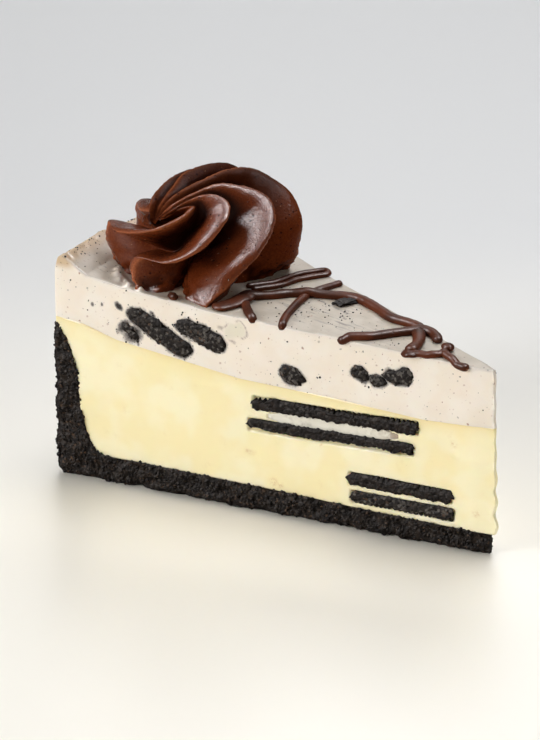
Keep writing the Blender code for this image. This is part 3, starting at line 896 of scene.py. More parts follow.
class PipedStrand(Recipe):
    """A strand that was piped along a path: flat-bottomed round section, rounded ends."""

    def __init__(self) -> None:
        """Builds the node tree once, with its sizes as named inputs."""
        super().__init__(
            "Piped strand", Path="Geometry", Width="Float", Height="Float", Seed="Float", Finish="Material"
        )
        given, node, sum_up = self.given, self.node, self.sum_up
        path = node("GeometryNodeMeshToCurve", {"Mesh": given["Path"]})
        upright = node("GeometryNodeSetCurveNormal", {"Curve": path.outputs[0]}, mode="Z_UP")
        along = node("GeometryNodeSplineParameter").outputs["Length"]
        total = node("GeometryNodeSplineLength").outputs["Length"]
        to_end = sum_up("MINIMUM", along, sum_up("SUBTRACT", total, along))
        half = sum_up("MULTIPLY", given["Width"], 0.5)
        near_end = sum_up("SUBTRACT", 1.0, sum_up("MINIMUM", sum_up("DIVIDE", to_end, half), 1.0))
        rounded = sum_up("SUBTRACT", 1.02, sum_up("MULTIPLY", near_end, near_end))
        inputs = {"Scale": 330.0, "Detail": 1.0, "W": given["Seed"]}
        patch = node("ShaderNodeTexNoise", inputs, noise_dimensions="4D")
        swell = sum_up("ADD", 0.80, sum_up("MULTIPLY", patch.outputs[0], 0.4))
        ring = node("GeometryNodeCurvePrimitiveCircle", {"Resolution": 20, "Radius": 0.5})
        size = node("ShaderNodeCombineXYZ", {"X": given["Width"], "Y": given["Height"], "Z": 1.0})
        inputs = {"Geometry": ring.outputs["Curve"], "Scale": size.outputs[0]}
        section = node("GeometryNodeTransform", inputs)
        inputs = {
            "Curve": upright.outputs[0],
            "Scale": sum_up("MULTIPLY", sum_up("POWER", rounded, 0.5), swell),
            "Profile Curve": section.outputs[0],
            "Fill Caps": True,
        }
        self.close(node("GeometryNodeCurveToMesh", inputs).outputs[0])

    def along(self, name: str, points: Sequence[Vector], finish: Material, **sizes: float) -> Object:
        """Pipes a strand along a path.

        Args:
            name: The new piece's name.
            points: The path.
            finish: The strand's material.
            **sizes: Values for the tree's other inputs, by name.

        Returns:
            The strand.
        """
        path = bpy.data.meshes.new(f"{name}_path")
        path.from_pydata(points, [(i, i + 1) for i in range(len(points) - 1)], [])
        return self.evaluated(name, path, Finish=finish, **sizes)


def joined(name: str, pieces: Sequence[Object]) -> Object:
    """Makes one piece of several that share their finishes.

    Args:
        name: The joined piece's name.
        pieces: The pieces. They are removed.

    Returns:
        The joined piece.
    """
    shell = bmesh.new()
    finishes: list[Material] = []
    for piece in pieces:
        before = len(shell.faces)
        shell.from_mesh(piece.data)
        shell.faces.ensure_lookup_table()
        finish = piece.data.materials[0]
        if finish not in finishes:
            finishes.append(finish)
        for face in shell.faces[before:]:
            face.material_index = finishes.index(finish)
    mesh = bpy.data.meshes.new(name)
    shell.to_mesh(mesh)
    shell.free()
    for finish in finishes:
        mesh.materials.append(finish)
    for piece in pieces:
        bpy.data.objects.remove(piece)
    made = bpy.data.objects.new(name, mesh)
    bpy.context.scene.collection.objects.link(made)
    return made


# Cookies in the filling


class Layer(Enum):
    """The layers of a sandwich cookie, as their nodes' names end."""

    UPPER = "upper_wafer"
    LOWER = "lower_wafer"
    CREAM = "cream"


class Cookie(NamedTuple):
    """A sandwich cookie that a cut face runs through.

    face is the cut face, along the middle of the cookie's chord there from the tip, chord that chord's
    length, middle its height, spread the space between its wafers, lean its slope, and slip how far its
    upper wafer has slid towards the tip and its lower one away.
    """

    name: str
    face: Face
    along: float
    chord: float
    middle: float
    spread: float
    lean: float
    slip: float


@dataclass(frozen=True)
class SandwichCookies:
    """The cookies baked into the filling, with their embossed wafers and their cream.

    bead is the distance between a wafer's raised beads and bead_depth their height. The waves are its
    unevenness, each by size and depth: on its raised side, its bow, its side at the cream, and its ends.
    """

    radius: float = 0.0222
    wafer: float = 0.0030
    cream_inset: float = 0.0042
    bead: float = 0.00125
    bead_depth: float = 0.0016
    side_waves: Line = ((0.0010, 0.00036), (0.0024, 0.00030))
    bow: tuple[float, float] = (0.006, 0.00022)
    inner_wave: tuple[float, float] = (0.0012, 0.0006)
    end_waves: Line = ((0.0011, 0.0008), (0.0024, 0.0005))
    end_rounding: float = 0.0012
    cell: float = 0.00018
    cookies: tuple[Cookie, ...] = (
        Cookie("middle_cookie", Face.NEAR, 0.0408, 0.0425, 0.0253, 0.0022, 0.022, 0.0006),
        Cookie("low_cookie", Face.NEAR, 0.0230, 0.0265, 0.0107, 0.0010, 0.0, -0.0003),
        Cookie("far_cookie", Face.FAR, 0.0690, 0.0390, 0.0205, 0.0028, 0.03, 0.0004),
    )

    def outside(self, layer: Layer) -> int:
        """The side of a layer that faces out of the cookie: 1 above, -1 below, and 0 for the cream."""
        return {Layer.UPPER: 1, Layer.LOWER: -1}.get(layer, 0)

    def taper(self, spread: float) -> float:
        """The cream's thickness at a share of its half length, against that in its middle."""
        return 1 - 0.6 * smooth((abs(spread) - 0.72) / 0.28)

    def beyond(self, cookie: Cookie) -> float:
        """Distance of a cookie's centre outside the cut face."""
        return math.sqrt(self.radius**2 - (cookie.chord / 2) ** 2)

    def layers(self, cookie: Cookie) -> list[tuple[Layer, float, float, float]]:
        """Lists the layers of a cookie.

        Args:
            cookie: The cookie.

        Returns:
            Each layer with its lowest and highest height and its radius.
        """
        top, bottom = cookie.middle + cookie.spread / 2, cookie.middle - cookie.spread / 2
        found = [
            (Layer.UPPER, top + GAP, top + GAP + self.wafer, self.radius),
            (Layer.LOWER, bottom - GAP - self.wafer, bottom - GAP, self.radius),
        ]
        if cookie.spread > self.wafer / 2:
            found.append((Layer.CREAM, bottom - 0.7 * GAP, top + 0.7 * GAP, self.radius - self.cream_inset))
        return found

    def recess(self, face: Face, along: float, z: float) -> float:
        """How far the filling's face is pushed back to leave a cookie showing.

        Args:
            face: The cut face.
            along: Distance from the tip.
            z: Height over the ground.

        Returns:
            The share of the full depth.
        """
        deepest = 0.0
        for cookie in self.cookies:
            if cookie.face is not face:
                continue
            for layer, low, high, radius in self.layers(cookie):
                half = math.sqrt(radius**2 - self.beyond(cookie) ** 2)
                outside = self.outside(layer)
                place = along - cookie.along + cookie.slip * outside
                level = z + cookie.lean * (along - cookie.along)
                if not outside:
                    level = cookie.middle + (level - cookie.middle) / self.taper(place / half)
                side = smooth((half - abs(place)) / 0.0005)
                deepest = max(deepest, side * smooth(min(level - low, high - level) / 0.0005 + 0.6))
        return deepest

    def place(self, cookie: Cookie, layer: Layer, low: float, high: float, radius: float) -> Place:
        """Gives the shape of one layer of a cookie, cut off by the cut face.

        Args:
            cookie: The cookie.
            layer: The layer.
            low: Its lowest height.
            high: Its highest height.
            radius: Its radius.

        Returns:
            The shape.
        """
        beyond = self.beyond(cookie)
        half_chord = math.sqrt(radius**2 - beyond**2)
        end = math.acos(beyond / radius)
        last = 0.68 * end
        outside = self.outside(layer)

        def point(s: float, t: float, h: float) -> Vector:
            """Finds a point of the layer.

            Args:
                s: Share along.
                t: Share inwards.
                h: Share up.

            Returns:
                The point.
            """
            spread = 2 * s - 1
            rim, side_turn = last * spread, end + (last - end) * t
            x = radius * math.sin(side_turn) * spread
            x += t * radius * (math.sin(rim) - math.sin(last) * spread)
            deep = t * radius * (math.cos(rim) - math.cos(last)) + radius * math.cos(side_turn) - beyond
            x += (1 - t) * (half_chord - radius * math.sin(end)) * spread
            z = low + (high - low) * h
            if not outside:
                z = cookie.middle + (z - cookie.middle) * self.taper(spread)
            at = Vector((x, deep, z)) + Vector((cookie.along * 7, 0.0, 0.0))
            if outside:
                edge = h if outside > 0 else 1 - h
                across = 2 * ((x + wobble(at, 0.004, 0.0006)) / self.bead % 1) - 1
                into = 2 * (deep / self.bead % 1) - 1
                worn = 0.75 + 1.1 * noise.noise(at / 0.0028)
                bead = math.sqrt(max(0.0, 1 - across**2 - into**2)) - 0.55
                z += outside * edge**3 * bead * worn * self.bead_depth
                z += wobbles(at, self.side_waves) + outside * wobble(at, *self.bow)
                z -= outside * (1 - edge) ** 3 * abs(wobble(at, *self.inner_wave))
                end_round = eased_edge((1 - abs(spread)) * half_chord, self.end_rounding)
                z -= (2 * h - 1) * end_round * 0.85
                x += wobbles(at, self.end_waves) * smooth((abs(spread) - 0.92) / 0.08)
            if t == 0:
                if outside:
                    deep -= 0.00008 + 0.00036 * grains(at, 0.0011) + 0.00026 * grains(at, 0.0005)
                    deep += 0.00025 * smooth((abs(2 * h - 1) - 0.6) / 0.4)
                else:
                    deep += 0.0001 + wobble(at, 0.0040, 0.00025) + wobble(at, 0.0011, 0.00012)
                    deep += 0.0003 * smooth((abs(spread) - 0.90) / 0.10)
            along = cookie.along - cookie.slip * outside + x
            return FORM.on_face(cookie.face, along, z - cookie.lean * x, deep)

        return point

    def finish(self, cookie: Cookie, layer: Layer, finishes: Finishes) -> Material:
        """Picks a layer's finish. The low cookie's lower wafer is as crumbled as a broken piece.

        Args:
            cookie: The cookie.
            layer: The layer.
            finishes: The slice's finishes.

        Returns:
            The finish.
        """
        if layer is Layer.CREAM:
            return finishes.cream
        crumbled = cookie.name == "low_cookie" and layer is Layer.LOWER
        return finishes.broken if crumbled else finishes.wafer

    def smudge(self, face: Face, end: float, where: Vector) -> float:
        """How brown a point of the cream is, from 0 at an end's start to 1 nearer the tip."""
        return smooth((end - FORM.face_place(face, where)[0]) / 0.008)

    def build(self, finishes: Finishes) -> None:
        """Builds every layer of every cookie in its node's place.

        Args:
            finishes: The slice's finishes.
        """
        for cookie in self.cookies:
            for layer, low, high, radius in self.layers(cookie):
                half = math.sqrt(radius**2 - self.beyond(cookie) ** 2)
                cells = (round(2 * half / self.cell), 8, max(8, round((high - low) / self.cell)))
                name = f"{cookie.name}_{layer.value}"
                shell = block(cells, self.place(cookie, layer, low, high, radius))
                piece = add_mesh(f"{name}_piece", shell, self.finish(cookie, layer, finishes))
                if layer is Layer.CREAM:
                    end = cookie.along - 0.60 * half
                    paint(piece, "smudge", lambda where: self.smudge(cookie.face, end, where))
                keep(piece, name)


# Broken pieces in the mousse


class Piece(NamedTuple):
    """A broken wafer piece at a cut face.

    upper and lower are its edges there, in millimetres from the tip and over the ground, both from the
    rim's side. depth is its reach into the slice in metres, and seed its own ragged shape.
    """

    name: str
    face: Face
    upper: Line
    lower: Line
    depth: float
    seed: float


class Smear(NamedTuple):
    """A grey smear of crumb dust on the near face, as a tilted oval in millimetres."""

    along: float
    z: float
    length: float
    height: float
    tilt: float
    strength: float


@dataclass(frozen=True)
class BrokenPieces:
    """The broken wafer pieces in the mousse, and the grey that they smeared on the cut face."""

    cell: float = 0.00024
    grain: float = 0.0012
    ragged: float = 0.0013
    edge_waves: Line = ((0.0026, 0.0007), (0.0008, 0.0005))
    pieces: tuple[Piece, ...] = (
        Piece(
            "long_piece", Face.NEAR,
            (
                (94.2, 45.0), (93.1, 46.3), (90.5, 46.5), (88.5, 45.4), (86.6, 44.5), (84.2, 43.2),
                (81.8, 41.7), (79.8, 40.6), (77.9, 39.8), (77.0, 38.3),
            ),
            (
                (94.0, 44.6), (93.0, 43.2), (91.7, 42.4), (89.9, 41.2), (88.2, 40.2), (85.1, 38.8),
                (83.4, 37.6), (81.2, 36.5), (79.0, 36.2), (77.3, 37.4),
            ),
            0.0070, 1.4,
        ),
        Piece(
            "short_piece", Face.NEAR,
            (
                (81.3, 43.7), (80.0, 45.2), (78.0, 45.9), (75.9, 45.2), (73.5, 45.1), (72.0, 43.9),
                (69.6, 43.2), (68.3, 41.2),
            ),
            (
                (81.0, 43.2), (79.8, 42.4), (77.6, 41.6), (75.0, 40.7), (72.9, 39.8), (70.9, 39.0),
                (69.2, 39.3), (68.4, 40.4),
            ),
            0.0060, 2.2,
        ),
        Piece(
            "round_piece", Face.NEAR,
            ((54.1, 37.2), (52.9, 38.7), (51.1, 38.5), (49.3, 37.6), (48.1, 36.2)),
            ((53.9, 36.0), (52.4, 34.4), (50.8, 34.1), (49.2, 34.6), (48.3, 35.6)),
            0.0040, 3.3,
        ),
        Piece(
            "left_bit", Face.NEAR,
            ((35.9, 40.2), (34.7, 41.5), (33.2, 41.5), (32.2, 40.2), (31.5, 39.6)),
            ((35.8, 39.3), (34.8, 38.8), (33.9, 38.4), (32.6, 37.8), (31.8, 38.8)),
            0.0030, 4.4,
        ),
        Piece(
            "middle_bit", Face.NEAR,
            ((31.3, 39.3), (30.4, 39.8), (29.6, 40.2), (27.8, 39.8), (27.0, 38.8)),
            ((31.2, 38.7), (30.6, 37.9), (29.6, 37.5), (28.2, 37.8), (27.2, 38.4)),
            0.0030, 5.5,
        ),
        Piece(
            "right_bit", Face.NEAR,
            ((27.8, 40.7), (26.5, 42.1), (24.7, 41.8), (22.6, 43.2), (21.3, 42.0), (20.9, 40.8)),
            ((27.4, 39.9), (25.9, 39.3), (24.6, 38.7), (23.4, 38.9), (21.9, 39.1), (21.0, 40.0)),
            0.0040, 6.6,
        ),
        Piece(
            "smeared_piece", Face.NEAR,
            ((95.4, 41.9), (94.2, 42.0), (92.8, 41.2), (91.2, 39.4)),
            ((95.2, 41.0), (93.9, 39.6), (92.6, 38.4), (91.3, 38.2)),
            0.0030, 7.7,
        ),
        Piece(
            "far_long_piece", Face.FAR,
            ((63.0, 42.6), (60.6, 43.3), (57.5, 42.6), (54.6, 41.4), (51.0, 40.6), (49.2, 38.9)),
            ((62.8, 41.2), (60.0, 39.0), (57.2, 38.2), (54.0, 37.3), (51.0, 36.4), (49.4, 37.2)),
            0.0060, 8.8,
        ),
        Piece(
            "far_round_piece", Face.FAR,
            ((90.8, 44.4), (89.4, 46.1), (87.4, 46.2), (85.4, 44.4)),
            ((90.6, 43.0), (89.0, 41.5), (86.9, 41.5), (85.3, 43.0)),
            0.0040, 9.9,
        ),
    )
    smears: tuple[Smear, ...] = (
        Smear(96.4, 46.3, 1.0, 0.6, 0.75, 1.20),
        Smear(103.5, 45.6, 0.4, 0.5, 0.00, 0.95),
        Smear(100.9, 46.0, 0.3, 0.5, 0.00, 0.95),
        Smear(95.2, 41.4, 2.0, 1.0, -0.90, 1.00),
        Smear(92.6, 39.9, 2.2, 1.7, -0.60, 1.05),
        Smear(91.3, 37.8, 0.4, 0.9, 0.00, 0.75),
        Smear(87.4, 45.6, 1.1, 0.6, 0.90, 0.80),
        Smear(92.3, 45.6, 1.6, 0.6, -0.10, 0.80),
        Smear(77.8, 40.9, 2.4, 0.3, 0.31, 0.55),
        Smear(97.0, 37.4, 0.7, 0.2, 0.00, 0.60),
        Smear(24.0, 42.2, 0.6, 0.4, 0.00, 0.50),
    )

    def edge(self, points: Line, share: float) -> Vector:
        """Finds the point at a share of an edge, in metres.

        Args:
            points: The edge, in millimetres.
            share: The share.

        Returns:
            The point.
        """
        place = share * (len(points) - 1)
        first = min(int(place), len(points) - 2)
        return Vector(points[first]).lerp(Vector(points[first + 1]), place - first) * MM

    def distance(self, piece: Piece, along: float, z: float) -> float:
        """Distance of a point of the face from a piece's outline, negative inside it.

        Args:
            piece: The piece.
            along: Distance from the tip, in metres.
            z: Height over the ground, in metres.

        Returns:
            The distance, or 1 where the point is far off.
        """
        x, up = along / MM, z / MM
        outline = (*piece.upper, *reversed(piece.lower))
        if not min(p[0] for p in outline) - 3 < x < max(p[0] for p in outline) + 3:
            return 1.0
        nearest, inside = 99.0, False
        for (x0, z0), (x1, z1) in zip(outline, (*outline[1:], outline[0])):
            dx, dz = x1 - x0, z1 - z0
            share = min(1.0, max(0.0, ((x - x0) * dx + (up - z0) * dz) / (dx * dx + dz * dz)))
            nearest = min(nearest, math.hypot(x - x0 - dx * share, up - z0 - dz * share))
            if (z0 > up) != (z1 > up) and x < x0 + dx * (up - z0) / dz:
                inside = not inside
        return (-nearest if inside else nearest) * MM

    def nearest(self, face: Face, along: float, z: float) -> float:
        """Distance from the nearest piece's outline, negative inside it."""
        return min(self.distance(piece, along, z) for piece in self.pieces if piece.face is face)

    def stain(self, face: Face, along: float, z: float, nearest: float) -> float:
        """How strongly crumbs have greyed the mousse's face.

        Args:
            face: The cut face.
            along: Distance from the tip.
            z: Height over the ground.
            nearest: Distance from the nearest piece's outline.

        Returns:
            0 for clean mousse, and about 1 where it is dark grey.
        """
        dark = 0.80 * math.exp(-max(0.0, nearest) / 0.0009)
        if face is Face.NEAR:
            for smear in self.smears:
                cos, sin = math.cos(smear.tilt), math.sin(smear.tilt)
                x, up = along / MM - smear.along, z / MM - smear.z
                u, v = (x * cos + up * sin) / smear.length, (up * cos - x * sin) / smear.height
                dark = max(dark, smear.strength * math.exp(-0.5 * (u * u + v * v)))
        return max(0.0, dark)

    def place(self, piece: Piece) -> Place:
        """Gives the shape of a broken piece.

        Args:
            piece: The piece.

        Returns:
            The shape.
        """
        middle = (self.edge(piece.upper, 0.5) + self.edge(piece.lower, 0.5)) / 2

        def point(s: float, t: float, h: float) -> Vector:
            """Finds a point of the piece.

            Args:
                s: Share along.
                t: Share inwards.
                h: Share up.

            Returns:
                The point.
            """
            low, high = self.edge(piece.lower, s), self.edge(piece.upper, s)
            at = low.lerp(high, h)
            flat = Vector((at.x, at.y, piece.seed))
            rim = max(abs(2 * s - 1), abs(2 * h - 1)) ** 8
            out = (at - middle).normalized()
            ragged = self.ragged * (grains(flat, self.grain) - 0.60) + wobbles(flat, self.edge_waves)
            at = at + out * rim * ragged
            inward = t * piece.depth
            if t == 0:
                inward -= 0.00005 + 0.00045 * grains(flat, self.grain) + 0.00028 * grains(flat, 0.0005)
                inward += 0.00060 * rim
            at = middle + (at - middle) * (1 - 0.35 * t)
            return FORM.on_face(piece.face, at.x, at.y, inward)

        return point

    def build(self, finishes: Finishes) -> None:
        """Builds every broken piece in its node's place.

        Args:
            finishes: The slice's finishes.
        """
        for piece in self.pieces:
            ends = [self.edge(piece.upper, share) for share in (0.0, 0.5, 1.0)]
            length = (ends[1] - ends[0]).length + (ends[2] - ends[1]).length
            height = (ends[1] - self.edge(piece.lower, 0.5)).length
            cells = (round(length / self.cell), 6, round(height / self.cell))
            made = add_mesh(f"{piece.name}_crumb", block(cells, self.place(piece)), finishes.broken)
            keep(made, piece.name)


@dataclass(frozen=True)
class TopCrumb:
    """The flat crumb half sunk in the top of the mousse."""

    x: float = FORM.tip_x - 0.0498
    y: float = 0.0070
    size: Triple = (0.0064, 0.0030, 0.0016)
    turn: float = math.radians(72.0)
    cells: tuple[int, int, int] = (40, 22, 12)

    def point(self, s: float, t: float, h: float) -> Vector:
        """Finds a point of the crumb.

        Args:
            s: Share along.
            t: Share across.
            h: Share up.

        Returns:
            The point.
        """
        a, b, c = 2 * s - 1, 2 * t - 1, 2 * h - 1
        soft = 1 - 0.12 * (a * a * b * b + b * b * c * c + a * a * c * c)
        ragged = 1 + wobble(Vector((a, b, c + 3.3)), 0.7, 0.40)
        at = Vector((a * self.size[0], b * self.size[1], c)) / 2
        lump = 0.78 + 0.36 * grains(at, 0.0010)
        along = a * self.size[0] / 2 * soft * ragged * lump
        across = b * self.size[1] / 2 * soft * ragged * lump
        ground = FORM.mousse_top(math.hypot(FORM.tip_x - self.x, self.y))
        cos, sin = math.cos(self.turn), math.sin(self.turn)
        up = c * self.size[2] / 2 * soft * lump + 0.0002
        x, y = along * cos - across * sin, along * sin + across * cos
        return Vector((self.x + x, self.y + y, ground + up))

    def build(self, finishes: Finishes) -> None:
        """Builds the crumb in its node's place."""
        crumb = add_mesh("top_piece_crumb", block(self.cells, self.point), finishes.wafer)
        keep(crumb, "top_piece")


COOKIES = SandwichCookies()
BROKEN = BrokenPieces()


# Layers


@dataclass(frozen=True)
class CrumbCrust:
    """The pressed crumb crust: a floor and a wall, ragged where the knife went through."""

    cells: tuple[int, int, int] = (320, 60, 18)
    floor_share: float = 0.74
    relief: float = 0.0011
    foot_inset: float = 0.0020
    foot_rise: float = 0.0015

    def path(self, s: float) -> tuple[tuple[float, float], tuple[float, float]]:
        """Inner and outer points of the section, each by its distance from the tip and its height.

        Args:
            s: Share of the way round, from 0 at the tip to 1 at the wall's top.

        Returns:
            The two points.
        """
        if s <= self.floor_share:
            share = s / self.floor_share
            r = FORM.tip_start + (FORM.wall_line[0][1] - FORM.tip_start) * share
            outer = FORM.tip_start + (FORM.cake_radius - self.foot_inset - FORM.tip_start) * share
            return (r, FORM.crust_top(r)), (outer, 0.0)
        climb = (s - self.floor_share) / (1 - self.floor_share)
        foot = FORM.crust_top(FORM.cake_radius)
        z = foot + (FORM.crust_wall_top - foot) * climb
        outer_z = self.foot_rise + (FORM.crust_wall_top - self.foot_rise) * climb
        return (FORM.crust_inner(z), z), (FORM.cake_radius - 0.0002, outer_z)

    def point(self, s: float, t: float, h: float) -> Vector:
        """Finds a point of the crust.

        Args:
            s: Share along.
            t: Share across.
            h: Share inwards.

        Returns:
            The point.
        """
        t, h = crowded(t, 0.7), crowded(h, 0.3)
        inner, outer = self.path(s)
        r = outer[0] + (inner[0] - outer[0]) * h
        z = outer[1] + (inner[1] - outer[1]) * h
        calm = min(1.0, 0.25 + r / 0.012)
        near = calm * (wobble(Vector((r, z, 1.7)), 0.0029, 0.0009) + 0.0002)
        far = calm * (wobble(Vector((r, z, 8.3)), 0.0029, 0.0009) + 0.0002)
        where = FORM.point(r, t, z, near, far)
        lumps = grains(where, 0.0021) * 0.6 + grains(where, 0.0009) * 0.4 - 0.72
        for face, at_face in ((Face.NEAR, t == 0), (Face.FAR, t == 1)):
            if at_face:
                where -= FORM.inward(face) * lumps * self.relief
                where += FORM.inward(face) * 0.0006 * smooth((0.25 - h) / 0.25)
        on_wall = s > self.floor_share
        if h == 0 and on_wall:
            out = Vector((where.x - FORM.tip_x, where.y, 0.0)).normalized()
            where += out * min(0.0, lumps * self.relief - 0.0001)
        if h == 0 and not on_wall:
            edge = max(0.0, 1 - min(t, 1 - t) * 2 * r * math.sin(FORM.half_angle) / 0.0016)
            where.z += edge * max(0.0, 0.0014 * grains(where, 0.0019) + wobble(where, 0.005, 0.0015))
        return where

    def loose(self, where: Vector) -> float:
        """How thick loose crumbs lie: on the cut faces and the wall, and not under the crust.

        Args:
            where: A point of the crust.

        Returns:
            The thickness, up to 1.
        """
        near, far = FORM.face_place(Face.NEAR, where)[1], FORM.face_place(Face.FAR, where)[1]
        r = math.hypot(FORM.tip_x - where.x, where.y)
        if where.z < 0.0007:
            return 0.0
        if min(near, far) < 0.0006:
            return 1.0
        return 0.45 if r > FORM.cake_radius - 0.0016 else 0.0

    def build(self, finishes: Finishes, scatter: CrumbScatter) -> None:
        """Builds the crust and the crumbs that stand out of it.

        Args:
            finishes: The slice's finishes.
            scatter: What spreads the crumbs.
        """
        crust = add_mesh("crumb_crust", block(self.cells, self.point), finishes.crust)
        paint(crust, "crumbs", self.loose)
        crumbs = scatter.over(
            "crust_crumbs", crust, finishes.crust, Density=2.2e6, Smallest=0.00018, Largest=0.00062, Seed=4
        )
        for vertex in crumbs.data.vertices:
            vertex.co.z = max(vertex.co.z, 0.0)
        keep(crust, "crust")
        keep(crumbs)


@dataclass(frozen=True)
class BakedFilling:
    """The baked filling, with the knife's ripples at its tip."""

    cells: tuple[int, int, int] = (270, 40, 76)
    stain_reach: Line = ((0.0, 4e-4), (0.0, -4e-4), (4e-4, 0.0))
    tan_spots: tuple[Triple, ...] = (
        (0.0625, 0.0150, 0.0007), (0.0558, 0.0083, 0.0009), (0.0540, 0.0078, 0.0006),
        (0.0101, 0.0264, 0.0006), (0.0041, 0.0100, 0.0007), (0.0435, 0.0202, 0.0004),
    )

    def point(self, s: float, t: float, h: float) -> Vector:
        """Finds a point of the filling.

        Args:
            s: Share along.
            t: Share across.
            h: Share up.

        Returns:
            The point.
        """
        t, r = crowded(t, 0.6), 0.0
        for _ in range(3):
            low, high = FORM.crust_top(r), FORM.filling_top(r)
            z = low + (high - low) * h
            r = FORM.tip_start + (FORM.filling_outer(z) - FORM.tip_start) * s
        near = wobble(Vector((r, z, 5.5)), 0.012, 0.00025)
        far = wobble(Vector((r, z, 2.5)), 0.012, 0.00025)
        where = FORM.point(r, t, z, near, far)
        where.x += FORM.tip_reach(z) * max(0.0, 1 - r / 0.012)
        for face, at_face in ((Face.NEAR, t == 0), (Face.FAR, t == 1)):
            if at_face:
                along, _ = FORM.face_place(face, where)
                push = 0.0011 * COOKIES.recess(face, along, z)
                push += 0.00012 * noise.noise(Vector((along * 60, z * 420, face.value)))
                push += 0.00015 * max(0.0, grains(where, 0.0085) - 0.985) / 0.015 * (1 if h < 0.9 else 0)
                where += FORM.inward(face) * push
        return where

    def band(self, where: Vector) -> float:
        """How deep the yellow is: strongest just under the mousse.

        Args:
            where: A point of the filling.

        Returns:
            The depth, up to 1.
        """
        r = math.hypot(FORM.tip_x - where.x, where.y)
        below = FORM.filling_top(r) - where.z + wobble(where, 0.010, 0.0006)
        return 0.85 * math.exp(-max(0.0, below) / 0.0016)

    def tan(self, where: Vector) -> float:
        """How strongly a tan spot shows.

        Args:
            where: A point of the filling.

        Returns:
            The strength, up to 1.
        """
        along, deep = FORM.face_place(Face.NEAR, where)
        if deep > 0.0015:
            return 0.0
        return max(bell(along - x, size) * bell(where.z - z, size) for x, z, size in self.tan_spots)

    def stain(self, where: Vector) -> float:
        """How strongly crumbs have darkened the face round the cookies and over the crust.

        Args:
            where: A point of the filling.

        Returns:
            The strength, up to 1.
        """
        dark = 0.0
        r = math.hypot(FORM.tip_x - where.x, where.y)
        dark = max(dark, 0.6 - (where.z - FORM.crust_top(r)) / 0.0012)
        for face in Face:
            along, deep = FORM.face_place(face, where)
            if deep < 0.0012:
                spots = (COOKIES.recess(face, along + dx, where.z + dz) for dx, dz in self.stain_reach)
                dark = max(dark, 0.34 * max(spots))
        return max(0.0, dark)

    def build(self, finishes: Finishes) -> None:
        """Builds the filling in its node's place.

        Args:
            finishes: The slice's finishes.
        """
        filling = add_mesh("baked_filling", block(self.cells, self.point), finishes.filling)
        paint(filling, "band", self.band)
        paint(filling, "tan", self.tan)
        paint(filling, "stain", self.stain)
        keep(filling, "filling")


